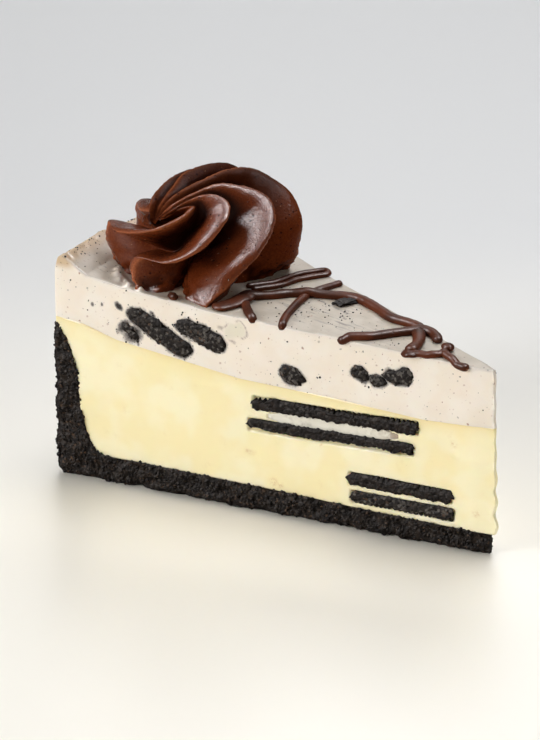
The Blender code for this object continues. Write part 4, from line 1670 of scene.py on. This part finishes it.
@dataclass(frozen=True)
class SpeckledMousse:
    """The mousse over the filling, with its raised lip and its crumb smears.

    blotch is the greasy mark on the near face, by its place and size. lumps are what the frosting pushed
    up, and streaked the patches with grey streaks, each by its place and size.
    """

    cells: tuple[int, int, int] = (300, 84, 54)
    edge: float = 0.0007
    blotch: tuple[float, float, float, float] = (0.0660, 0.0448, 0.0035, 0.0026)
    lumps: tuple[Triple, ...] = (
        (0.0990, -0.0190, 0.0010), (0.0972, -0.0212, 0.0013), (0.0945, -0.0226, 0.0016),
        (0.0915, -0.0235, 0.0013), (0.0885, -0.0228, 0.0009),
    )
    streaked: tuple[Triple, ...] = (
        (0.004, 0.000, 0.0085), (0.012, -0.001, 0.0060), (-0.044, -0.0195, 0.0030),
        (0.026, -0.002, 0.004),
    )

    def point(self, s: float, t: float, h: float) -> Vector:
        """Finds a point of the mousse.

        Args:
            s: Share along.
            t: Share across.
            h: Share up.

        Returns:
            The point.
        """
        t, h, r = crowded(t, 0.7), crowded(h, 0.5), FORM.tip_start
        for _ in range(3):
            high, low = FORM.mousse_top(r, t * 0.06), FORM.filling_top(r)
            z = low + (high - low) * h
            r = FORM.tip_start + (FORM.mousse_outer(z) - FORM.tip_start) * s
        near = wobble(Vector((r, z, 9.5)), 0.009, 0.0002)
        far = wobble(Vector((r, z, 6.5)), 0.009, 0.0002)
        where = FORM.point(r, t, z, near, far)
        where.x += FORM.tip_reach(z) * max(0.0, 1 - r / 0.012)
        if h == 1:
            width = 2 * r * math.sin(FORM.half_angle)
            where.z -= eased_edge(min(t, 1 - t) * width, self.edge)
            lip = smooth((r - 0.1085) / 0.002)
            where.z += lip * (0.0005 * (grains(where, 0.0016) - 0.75) + wobble(where, 0.004, 0.0003))
            where.z += wobble(where, 0.006, 0.00012)
            where.z += 0.0011 * self.lump(where) * (0.3 + 0.9 * grains(where, 0.0023))
        for face, at_face in ((Face.NEAR, t == 0), (Face.FAR, t == 1)):
            if at_face:
                along, _ = FORM.face_place(face, where)
                push = eased_edge((1 - h) * (high - low), self.edge)
                push += 0.0010 * smooth((0.0002 - BROKEN.nearest(face, along, z)) / 0.0006)
                push += 0.00010 * noise.noise(Vector((along * 90, z * 300, face.value * 3)))
                where += FORM.inward(face) * push
        return where

    def lump(self, where: Vector) -> float:
        """How much mousse the frosting has pushed up at a point beside it, from 0 to 1.

        Args:
            where: The point.

        Returns:
            The amount.
        """
        back = FORM.tip_x - where.x
        found = (bell(back - x, size) * bell(where.y - y, size) for x, y, size in self.lumps)
        return min(1.0, sum(found)) * smooth((where.z - 0.0490) / 0.001)

    def stain(self, where: Vector) -> float:
        """How strongly crumbs have greyed a point of a cut face, and 0 elsewhere.

        Args:
            where: The point.

        Returns:
            The strength.
        """
        for face in Face:
            along, deep = FORM.face_place(face, where)
            if deep < 0.0014:
                return BROKEN.stain(face, along, where.z, BROKEN.nearest(face, along, where.z))
        return 0.0

    def crest(self, where: Vector) -> float:
        """How tan the lip's crest is."""
        r = math.hypot(FORM.tip_x - where.x, where.y)
        return 0.85 * smooth((r - 0.1075) / 0.003) * smooth((where.z - 0.0530) / 0.002)

    def streaks(self, where: Vector) -> float:
        """How strongly grey crumb streaks show on top.

        Args:
            where: A point of the mousse.

        Returns:
            The strength, up to 1.
        """
        if where.z < FORM.mousse_top(math.hypot(FORM.tip_x - where.x, where.y)) - 0.0008:
            return 0.0
        return max(bell(where.x - x, size) * bell(where.y - y, size) for x, y, size in self.streaked)

    def ring(self, where: Vector, width: Optional[float]) -> float:
        """The greasy blotch on the near face: its rim where width is given, else its inside.

        Args:
            where: A point of the mousse.
            width: The rim's width, as a share of the blotch.

        Returns:
            The strength, up to 1.
        """
        along, deep = FORM.face_place(Face.NEAR, where)
        if deep > 0.0012:
            return 0.0
        x, z, length, height = self.blotch
        out = math.hypot((along - x) / length, (where.z - z) / height)
        out += wobble(Vector((along, where.z, 2.0)), 0.0019, 0.42)
        return bell(out - 1, width) if width else smooth((1 - out) / 0.4)

    def loose(self, where: Vector) -> float:
        """How thick fine crumbs lie on the mousse: round the broken pieces and a few everywhere."""
        close = self.stain(where)
        return 0.02 + 1.2 * close * close + 0.5 * self.crest(where) + 0.25 * self.streaks(where)

    def build(self, finishes: Finishes, scatter: CrumbScatter) -> None:
        """Builds the mousse in its node's place, and the crumbs on it.

        Args:
            finishes: The slice's finishes.
            scatter: What spreads the crumbs.
        """
        mousse = add_mesh("speckled_mousse", block(self.cells, self.point), finishes.mousse)
        paint(mousse, "crest", self.crest)
        paint(mousse, "streaks", self.streaks)
        paint(mousse, "lump", self.lump)
        paint(mousse, "stain", self.stain)
        paint(mousse, "ring", lambda where: self.ring(where, 0.08))
        paint(mousse, "blotch", lambda where: self.ring(where, None))
        paint(mousse, "crumbs", self.loose)
        crumbs = scatter.over(
            "mousse_crumbs", mousse, finishes.wafer, Density=2.0e6, Smallest=0.00006, Largest=0.0003, Seed=9
        )
        keep(mousse, "mousse")
        keep(crumbs)


# Chocolate


def curve_through(points: Sequence[Sequence[float]], count: int) -> list[Vector]:
    """Draws the smooth curve through a run of points.

    Args:
        points: The points, in millimetres.
        count: How many steps to divide the curve into.

    Returns:
        The curve's points, in metres.
    """
    run = [Vector(point) * MM for point in points]
    ends = [2 * run[0] - run[1], *run, 2 * run[-1] - run[-2]]
    knots = [0.0]
    for one, two in zip(ends, ends[1:]):
        knots.append(knots[-1] + (two - one).length ** 0.8)
    found = []
    k = 1
    for i in range(count + 1):
        at = knots[1] + (knots[-2] - knots[1]) * i / count
        while k < len(run) - 1 and knots[k + 1] < at:
            k += 1
        before, start, stop, after = ends[k - 1 : k + 3]
        span = knots[k + 1] - knots[k]
        s = (at - knots[k]) / span
        leave = (stop - before) * span / (knots[k + 1] - knots[k - 1])
        arrive = (after - start) * span / (knots[k + 2] - knots[k])
        rise = s * s * (3 - 2 * s)
        found.append(start + (stop - start) * rise + leave * s * (1 - s) ** 2 - arrive * s * s * (1 - s))
    return found


class Run(NamedTuple):
    """A strand of drizzle: its width and height, and its points from the tip and across, in millimetres."""

    name: str
    width: float
    height: float
    points: tuple[tuple[float, float], ...]


@dataclass(frozen=True)
class Drizzle:
    """The chocolate drizzle.

    level is how high a strand's middle lies, as a share of its height. lift is how far it rises over
    another strand, and lift_reach how far from it the rise starts.
    """

    level: float = 0.30
    lift: float = 0.0005
    lift_reach: float = 0.0016
    overhang: float = 0.0010
    step: float = 0.0004
    runs: tuple[Run, ...] = (
        Run(
            "hairpin", 1.7, 1.4,
            (
                (73.0, -2.5), (69.9, 4.4), (69.2, 11.2), (68.0, 14.8), (65.8, 18.4), (64.0, 17.2),
                (65.6, 13.3), (67.1, 9.1), (67.6, 4.3), (71.0, -3.0),
            ),
        ),
        Run(
            "crossing", 2.0, 1.6,
            (
                (51.6, -14.9), (54.4, -10.0), (56.5, -5.0), (58.2, 0.0), (59.3, 5.0), (58.9, 9.3),
                (58.0, 15.2),
            ),
        ),
        Run(
            "main", 2.7, 2.2,
            (
                (69.0, -7.5), (65.1, -3.1), (62.4, 1.2), (58.5, 4.5), (55.1, 6.8), (51.1, 9.2),
                (47.5, 9.8), (41.0, 8.1), (35.7, 6.2), (30.0, 6.6), (26.5, 6.2),
            ),
        ),
        Run(
            "return", 2.6, 2.1,
            (
                (37.9, -11.3), (35.4, -8.9), (32.3, -5.6), (29.9, -0.8), (27.8, 2.8), (26.2, 5.2),
                (23.8, 5.7), (21.3, 4.6), (19.2, 2.6),
            ),
        ),
        Run("drop", 3.0, 2.0, ((26.4, 4.2), (23.9, 1.5), (22.0, -1.7), (21.0, -5.1), (20.6, -6.0))),
        Run("blob", 4.6, 1.6, ((22.6, -7.0), (21.2, -6.2), (18.6, -5.2))),
        Run("last", 2.2, 1.6, ((21.2, -6.2), (18.5, -5.2), (16.3, -4.2), (14.7, -2.2), (15.2, 0.4))),
        Run("knob", 3.5, 1.9, ((15.3, -0.4), (15.1, 1.2), (13.9, 1.7))),
        Run("tail", 2.2, 1.7, ((14.4, -1.8), (11.4, -2.6), (8.6, -3.0), (6.3, -2.6))),
        Run("drip", 2.2, 1.6, ((67.4, -9.8), (64.2, -12.6), (61.0, -15.2), (58.7, -16.4))),
        Run("pool", 4.6, 1.7, ((69.6, -18.4), (68.6, -14.0), (68.2, -9.2), (69.2, -4.0))),
        Run("drop_fallen", 2.2, 1.6, ((81.6, -19.8), (80.2, -20.6), (79.0, -21.2))),
    )

    def height(self, from_tip: float, lateral: float) -> float:
        """Height of the surface under a strand, which sinks where the strand hangs over the near edge.

        Args:
            from_tip: Distance back from the tip.
            lateral: Distance across.

        Returns:
            The height.
        """
        edge = from_tip * math.tan(FORM.half_angle) + FORM.tip_blunt
        hanging = smooth((-lateral - edge + self.overhang) / self.overhang)
        return FORM.mousse_top(math.hypot(from_tip, lateral)) - self.overhang * hanging

    def build(self, finishes: Finishes, piper: PipedStrand) -> None:
        """Pipes every run, each over the ones before it, and joins them.

        Args:
            finishes: The slice's finishes.
            piper: What pipes the strands.
        """
        strands, laid = [], []
        for number, run in enumerate(self.runs):
            length = sum(math.dist(one, two) for one, two in zip(run.points, run.points[1:])) * MM
            flat = curve_through(run.points, max(8, round(length / self.step)))
            path = []
            for from_tip, lateral in flat:
                over = min((math.dist((from_tip, lateral), other) for other in laid), default=1.0)
                z = self.height(from_tip, lateral) + self.level * run.height * MM
                z += self.lift * bell(over, self.lift_reach)
                path.append(Vector((FORM.tip_x - from_tip, lateral, z)))
            laid += [tuple(point) for point in flat]
            strand = piper.along(
                f"drizzle_{run.name}",
                path,
                finishes.drizzle,
                Width=run.width * MM,
                Height=run.height * MM,
                Seed=float(number),
            )
            strands.append(strand)
        drizzle = joined("chocolate_drizzle", strands)
        # The drizzle has a quarter of the crest's redder tint all over, no painted shade, and full gloss.
        paint(drizzle, "crest", lambda where: 0.25)
        paint(drizzle, "valley", lambda where: 0.0)
        paint(drizzle, "gloss", lambda where: 1.0)
        keep(drizzle)


class Ridge(NamedTuple):
    """A ridge's points from its foot up, and the valley after it, counter-clockwise.

    The valley's depth is a share of its width, at the foot and higher up. turn is where in the gap the
    valley is deepest at the foot, and turn_up higher up. eye_turn is the ridge's bearing round the eye, in
    degrees. gloss is how much of the frosting's sheen the ridge has; the less gloss, the more painted shade
    darkens the ridge.
    """

    points: tuple[Triple, ...]
    foot_depth: float
    depth: float
    turn: float
    turn_up: float
    eye_turn: float
    gloss: float


@dataclass(frozen=True)
class FrostingSwirl:
    """The swirl piped through a star tip. Ridge points are in millimetres from the middle of its base.

    smooth_foot is the place of the one foot that isn't blunt, along foot_way, and its width.
    """

    from_tip: float = 0.0890
    rows: int = 150
    cells: int = 14
    root: float = 0.004
    rounding: float = 0.06
    crown: float = 0.95
    eye: Triple = (-0.8, -15.8, 14.5)
    eye_radius: float = 1.55
    foot_way: tuple[float, float] = (0.766, 0.643)
    smooth_foot: tuple[float, float] = (0.003, 0.006)
    fine_waves: Line = ((0.0016, 0.00007), (0.0045, 0.00015))
    blunt_waves: Line = ((0.0036, 0.0012), (0.0015, 0.0009))
    ridges: tuple[Ridge, ...] = (
        Ridge(
            (
                (-15.0, -15.5, 3.0), (-15.8, -17.0, 8.4), (-14.5, -17.1, 12.2), (-8.4, -21.1, 12.4),
                (3.0, -21.0, 15.0), (8.5, -16.5, 18.3), (9.0, -13.3, 20.2), (5.6, -13.8, 19.1),
                (2.0, -15.0, 16.5),
            ),
            foot_depth=0.24, depth=0.44, turn=0.74, turn_up=0.48, eye_turn=77.0, gloss=0.8,
        ),
        Ridge(
            (
                (1.0, -23.6, -1.5), (-1.0, -24.0, 4.0), (1.0, -23.6, 8.2), (9.0, -21.8, 8.6),
                (14.5, -17.6, 11.8), (16.4, -10.0, 17.6), (14.0, -6.2, 20.6), (9.5, -8.0, 22.2),
                (6.8, -12.0, 21.3), (4.0, -15.5, 18.8),
            ),
            foot_depth=0.55, depth=0.56, turn=0.46, turn_up=0.44, eye_turn=88.0, gloss=1.0,
        ),
        Ridge(
            (
                (17.3, -18.4, -1.0), (19.2, -12.6, 3.0), (22.5, -5.0, 9.5), (20.7, 2.8, 15.4),
                (15.5, 5.5, 19.8), (8.8, -2.4, 23.3), (6.2, -10.3, 22.3), (3.4, -15.1, 19.8),
            ),
            foot_depth=0.16, depth=0.54, turn=0.42, turn_up=0.40, eye_turn=101.0, gloss=1.0,
        ),
        Ridge(
            (
                (15.5, 14.5, -1.0), (19.0, 13.0, 3.5), (19.4, 14.2, 12.2), (14.6, 14.8, 18.2),
                (6.6, 11.4, 22.8), (4.8, 5.0, 24.1), (4.6, -5.0, 24.0), (3.6, -10.5, 22.9),
                (1.9, -14.7, 20.4),
            ),
            foot_depth=0.40, depth=0.45, turn=0.45, turn_up=0.32, eye_turn=114.0, gloss=0.12,
        ),
        Ridge(
            (
                (-4.0, 19.5, 0.0), (-3.0, 22.0, 6.5), (-2.0, 19.5, 15.0), (-2.0, 9.6, 22.6),
                (-1.4, -4.5, 24.3), (0.2, -11.0, 22.6), (0.3, -14.7, 20.2),
            ),
            foot_depth=0.40, depth=0.40, turn=0.48, turn_up=0.34, eye_turn=128.0, gloss=0.12,
        ),
        Ridge(
            (
                (-17.5, 11.0, 2.5), (-20.0, 11.5, 8.0), (-15.0, 10.0, 15.5), (-6.5, 3.0, 21.6),
                (-3.2, -8.0, 23.3), (-2.9, -13.8, 21.0), (-2.4, -16.2, 18.4),
            ),
            foot_depth=0.40, depth=0.40, turn=0.50, turn_up=0.50, eye_turn=150.0, gloss=0.12,
        ),
        Ridge(
            (
                (-17.8, -3.6, 2.0), (-19.0, -2.2, 7.0), (-19.6, -2.0, 10.8), (-18.8, -2.6, 11.9),
                (-12.6, -8.4, 13.4), (-5.3, -12.1, 15.2), (-6.9, -13.8, 13.3),
            ),
            foot_depth=0.45, depth=0.49, turn=0.50, turn_up=0.72, eye_turn=214.0, gloss=0.3,
        ),
    )

    def valley(self, share: float, turn: float, foot: float) -> float:
        """Depth of the valley across a gap between ridges, 1 where it is deepest.

        Args:
            share: Where in the gap, from 0 at one ridge to 1 at the next.
            turn: Where the valley is deepest.
            foot: 1 at the base of the swirl and 0 higher up.

        Returns:
            The depth.
        """
        if share < turn:
            rounded = math.hypot(share / turn, self.rounding) - self.rounding
            return (rounded / (math.hypot(1, self.rounding) - self.rounding)) ** (0.95 + 1.5 * foot)
        rise = (1 - share) / (1 - turn)
        return rise ** (2.0 + 0.8 * foot) - self.crown * rise * (1 - rise) ** 1.5 * (1 - foot)

    def middle(self) -> Vector:
        """The middle of the swirl's base."""
        return Vector((FORM.tip_x - self.from_tip, 0.0, FORM.mousse_top(self.from_tip)))

    def rings(self) -> list[list[tuple[Vector, float, float, float]]]:
        """Finds the rings of points round the swirl, from its feet to its eye.

        Returns:
            The rings' points, each with its painted crest glow, its painted shade and its gloss.
        """
        eye = Vector(self.eye)
        eye_side, eye_up = Vector((1.0, 0.0, 0.0)), Vector((0.0, 0.66, 0.75))
        curves = []
        for ridge in self.ridges:
            bearing = math.radians(ridge.eye_turn)
            end = eye + (eye_side * math.cos(bearing) + eye_up * math.sin(bearing)) * self.eye_radius
            curves.append(curve_through((*ridge.points, end), self.rows))
        low, high = Vector((0.0, 0.0, 4.0)) * MM, (eye + Vector((1.5, 7.0, -7.0))) * MM
        rings = []
        for row in range(self.rows + 1):
            up = row / self.rows
            core = low.lerp(high, up)
            foot = max(0.0, 1 - up / 0.2)
            ring = []
            after = (*self.ridges[1:], self.ridges[0])
            for ridge, following, start, stop in zip(self.ridges, after, curves, curves[1:] + curves[:1]):
                gap = (stop[row] - start[row]).length
                depth = (ridge.depth + (ridge.foot_depth - ridge.depth) * foot) * (1 - 0.66 * up**4)
                turn = ridge.turn + (ridge.turn_up - ridge.turn) * smooth((up - 0.3) / 0.3)
                for cell in range(2 * self.cells):
                    share = straight(((0, 0), (self.cells, turn), (2 * self.cells, 1)), cell)
                    point = start[row].lerp(stop[row], share)
                    inward = (core - point).normalized()
                    deep = self.valley(share, turn, foot)
                    point = point + inward * depth * gap * deep
                    # Painted glow along the thin crests: strongest right at a crest, faded out towards the
                    # eye.
                    crest_glow = math.exp(-min(share, 1 - share) * gap / 0.0006)
                    gloss = ridge.gloss if share < turn else following.gloss
                    # Painted shade: darker where the valley is deep, and on the ridges with little gloss,
                    # which face away from the lights; faded out near the base.
                    dark = max(deep, 0.42 * (1 - gloss)) * smooth((up - 0.24) / 0.2)
                    gloss *= 1 - 0.9 * dark
                    ring.append((point, crest_glow * (1 - up**6), dark, gloss))
            rings.append(ring)
        return rings

    def build(self, finishes: Finishes) -> None:
        """Builds the swirl in its node's place.

        Args:
            finishes: The slice's finishes.
        """
        middle, rings = self.middle(), self.rings()
        # The root ring keeps the lowest ring's painted shade, with no crest glow and no gloss.
        root = [(point - Vector((0.0, 0.0, self.root)), 0.0, deep, 0.0) for point, _, deep, _ in rings[0]]
        shell = bmesh.new()
        rows = [[shell.verts.new(middle + values[0]) for values in ring] for ring in (root, *rings)]
        for one, two in zip(rows, rows[1:]):
            for i in range(len(one)):
                j = (i + 1) % len(one)
                shell.faces.new((one[i], one[j], two[j], two[i]))
        base = shell.verts.new(middle - Vector((0.0, 0.0, self.root)))
        eye = shell.verts.new(middle + Vector(self.eye) * MM)
        for ring, pole in ((rows[0], base), (rows[-1], eye)):
            for i in range(len(ring)):
                shell.faces.new((ring[i], ring[(i + 1) % len(ring)], pole))
        swirl = add_mesh("piped_swirl", shell, finishes.frosting)
        # Stores each point's painted crest glow, painted shade and gloss for the frosting's material.
        for place, name in enumerate(("crest", "valley", "gloss"), 1):
            values = [point[place] for ring in (root, *rings) for point in ring] + [0.0, 0.0]
            swirl.data.attributes.new(name, "FLOAT", "POINT").data.foreach_set("value", values)
        self.roughen(swirl)
        keep(swirl, "frosting_swirl")

    def roughen(self, swirl: Object) -> None:
        """Gives the frosting the fine unevenness of piping, stronger on its torn crests and blunt feet, and
        paints shade into the dents of its feet.

        Args:
            swirl: The swirl.
        """
        mesh = swirl.data
        crests, painted_shade_values = mesh.attributes["crest"].data, mesh.attributes["valley"].data
        middle, (foot_place, foot_width) = self.middle(), self.smooth_foot
        eye = middle + Vector(self.eye) * MM
        normals = [vertex.normal.copy() for vertex in mesh.vertices]
        for vertex, normal in zip(mesh.vertices, normals):
            fine = wobbles(vertex.co, self.fine_waves)
            torn = wobble(vertex.co, 0.0009, 0.00022) * crests[vertex.index].value
            foot = 1 - smooth((vertex.co.z - middle.z - 0.0005) / 0.0065)
            side = (vertex.co - middle).xy.dot(Vector(self.foot_way))
            foot *= 1 - 0.85 * bell(side - foot_place, foot_width)
            blunt = foot * wobbles(vertex.co, self.blunt_waves)
            # Painted shade: the deeper dents of the blunt feet are darkened too.
            dent_shade = painted_shade_values[vertex.index]
            dent_shade.value = max(dent_shade.value, 0.4 * foot * smooth(0.3 - blunt / 0.0006))
            curl = wobble(vertex.co, 0.0019, 0.0007) * bell((vertex.co - eye).length, 0.0045)
            vertex.co += normal * (fine + torn + blunt + curl)


# Scene


def keep(piece: Object, node: Optional[str] = None) -> None:
    """Hands a finished piece to the frame.

    Args:
        piece: The piece.
        node: The CAD node that it stands for, if it stands for one.
    """
    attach(piece, "root")
    if node:
        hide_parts(node)
    LOG.info("%s: %d points, %d faces", piece.name, len(piece.data.vertices), len(piece.data.polygons))


class Shows(Enum):
    """Where a light shows: everywhere, only as its own reflection, or never as one."""

    ALL = "all"
    SHEEN = "sheen"
    FILL = "fill"


class Lamp(NamedTuple):
    """A soft square light: its place, the length of its side, its power in watts and its tint.

    towards is the point that it looks at, the slice unless given.
    """

    name: str
    place: Triple
    size: float
    power: float
    tint: Triple
    shows: Shows = Shows.ALL
    towards: Triple = (0.0, 0.0, 0.04)


@dataclass(frozen=True)
class Studio:
    """The pale floor, the soft light and the camera.

    The floor's tint goes from floor_near to floor_far along floor_way, between the two floor_steps.
    """

    eye: Triple = (0.5035, -0.6123, 0.3563)
    target: Triple = (-0.0088, -0.0022, 0.0298)
    lens: float = 175.1
    floor_size: float = 6.0
    floor_near: Colour = rgb(0.93, 0.90, 0.815)
    floor_far: Colour = rgb(0.675, 0.683, 0.69)
    floor_way: Triple = (-0.643, 0.766, 0.0)
    floor_steps: tuple[float, float] = (-0.03, 0.20)
    world_tint: Colour = rgb(1.0, 0.99, 0.97)
    world_strength: float = 0.10
    lamps: tuple[Lamp, ...] = (
        Lamp("window", (-0.95, -2.02, 1.00), 1.2, 39.5, (1.0, 0.985, 0.96)),
        Lamp("skylight", (-0.10, 0.30, 1.30), 0.7, 8.0, (0.97, 0.97, 1.0)),
        Lamp("bounce", (1.40, 0.40, 0.70), 0.9, 3.0, (1.0, 0.98, 0.94), Shows.FILL),
        Lamp("crown sheen", (0.28, 0.42, 1.14), 0.30, 66.0, (1.0, 0.95, 0.95), Shows.SHEEN),
        Lamp("foot sheen", (-0.52, -0.62, 1.12), 0.35, 95.0, (1.0, 0.95, 0.95), Shows.SHEEN),
        Lamp("backdrop", (-1.20, 1.90, 1.60), 1.4, 27.0, (0.99, 1.0, 1.0), towards=(-1.0, 1.5, 0.0)),
    )

    def hang(self, lamp: Lamp) -> None:
        """Adds a light to the scene.

        Args:
            lamp: The light.
        """
        data = bpy.data.lights.new(lamp.name, "AREA")
        data.size, data.energy, data.color = lamp.size, lamp.power, lamp.tint
        light = bpy.data.objects.new(lamp.name, data)
        light.location = lamp.place
        way = Vector(lamp.towards) - Vector(lamp.place)
        light.rotation_euler = way.to_track_quat("-Z", "Y").to_euler()
        light.visible_diffuse = lamp.shows is not Shows.SHEEN
        light.visible_glossy = lamp.shows is not Shows.FILL
        bpy.context.scene.collection.objects.link(light)

    def build(self) -> None:
        """Sets up the floor, the lights, the world and the camera."""
        half = self.floor_size / 2
        mesh = bpy.data.meshes.new("floor")
        corners = [(-half, -half, 0), (half, -half, 0), (half, half, 0), (-half, half, 0)]
        mesh.from_pydata(corners, [], [(0, 1, 2, 3)])
        g = Graph("pale floor")
        away = g.node("ShaderNodeVectorMath", {0: g.place, 1: self.floor_way}, operation="DOT_PRODUCT")
        tint = g.mix(g.step(away.outputs["Value"], *self.floor_steps), self.floor_near, self.floor_far)
        g.set(Base_Color=tint, Roughness=0.35)
        mesh.materials.append(g.material)
        floor = bpy.data.objects.new("floor", mesh)
        bpy.context.scene.collection.objects.link(floor)
        for lamp in self.lamps:
            self.hang(lamp)
        world = bpy.data.worlds.new("studio")
        world.use_nodes = True
        world.node_tree.nodes["Background"].inputs["Color"].default_value = self.world_tint
        world.node_tree.nodes["Background"].inputs["Strength"].default_value = self.world_strength
        bpy.context.scene.world = world
        bpy.context.scene.view_settings.view_transform = "Standard"
        data = bpy.data.cameras.new("camera")
        data.lens, data.sensor_width = self.lens, 36.0
        data.clip_start, data.clip_end = 0.05, 20.0
        camera = bpy.data.objects.new("camera", data)
        camera.location = self.eye
        way = Vector(self.target) - Vector(self.eye)
        camera.rotation_euler = way.to_track_quat("-Z", "Y").to_euler()
        bpy.context.scene.collection.objects.link(camera)
        bpy.context.scene.camera = camera


def main() -> None:
    """Builds the slice's pieces and the studio."""
    logging.basicConfig(level=logging.INFO, format="%(name)s %(message)s")
    finishes = Finishes.made()
    scatter, piper = CrumbScatter(), PipedStrand()
    Studio().build()
    CrumbCrust().build(finishes, scatter)
    BakedFilling().build(finishes)
    COOKIES.build(finishes)
    SpeckledMousse().build(finishes, scatter)
    BROKEN.build(finishes)
    TopCrumb().build(finishes)
    Drizzle().build(finishes, piper)
    FrostingSwirl().build(finishes)


if __name__ == "__main__":
    main()
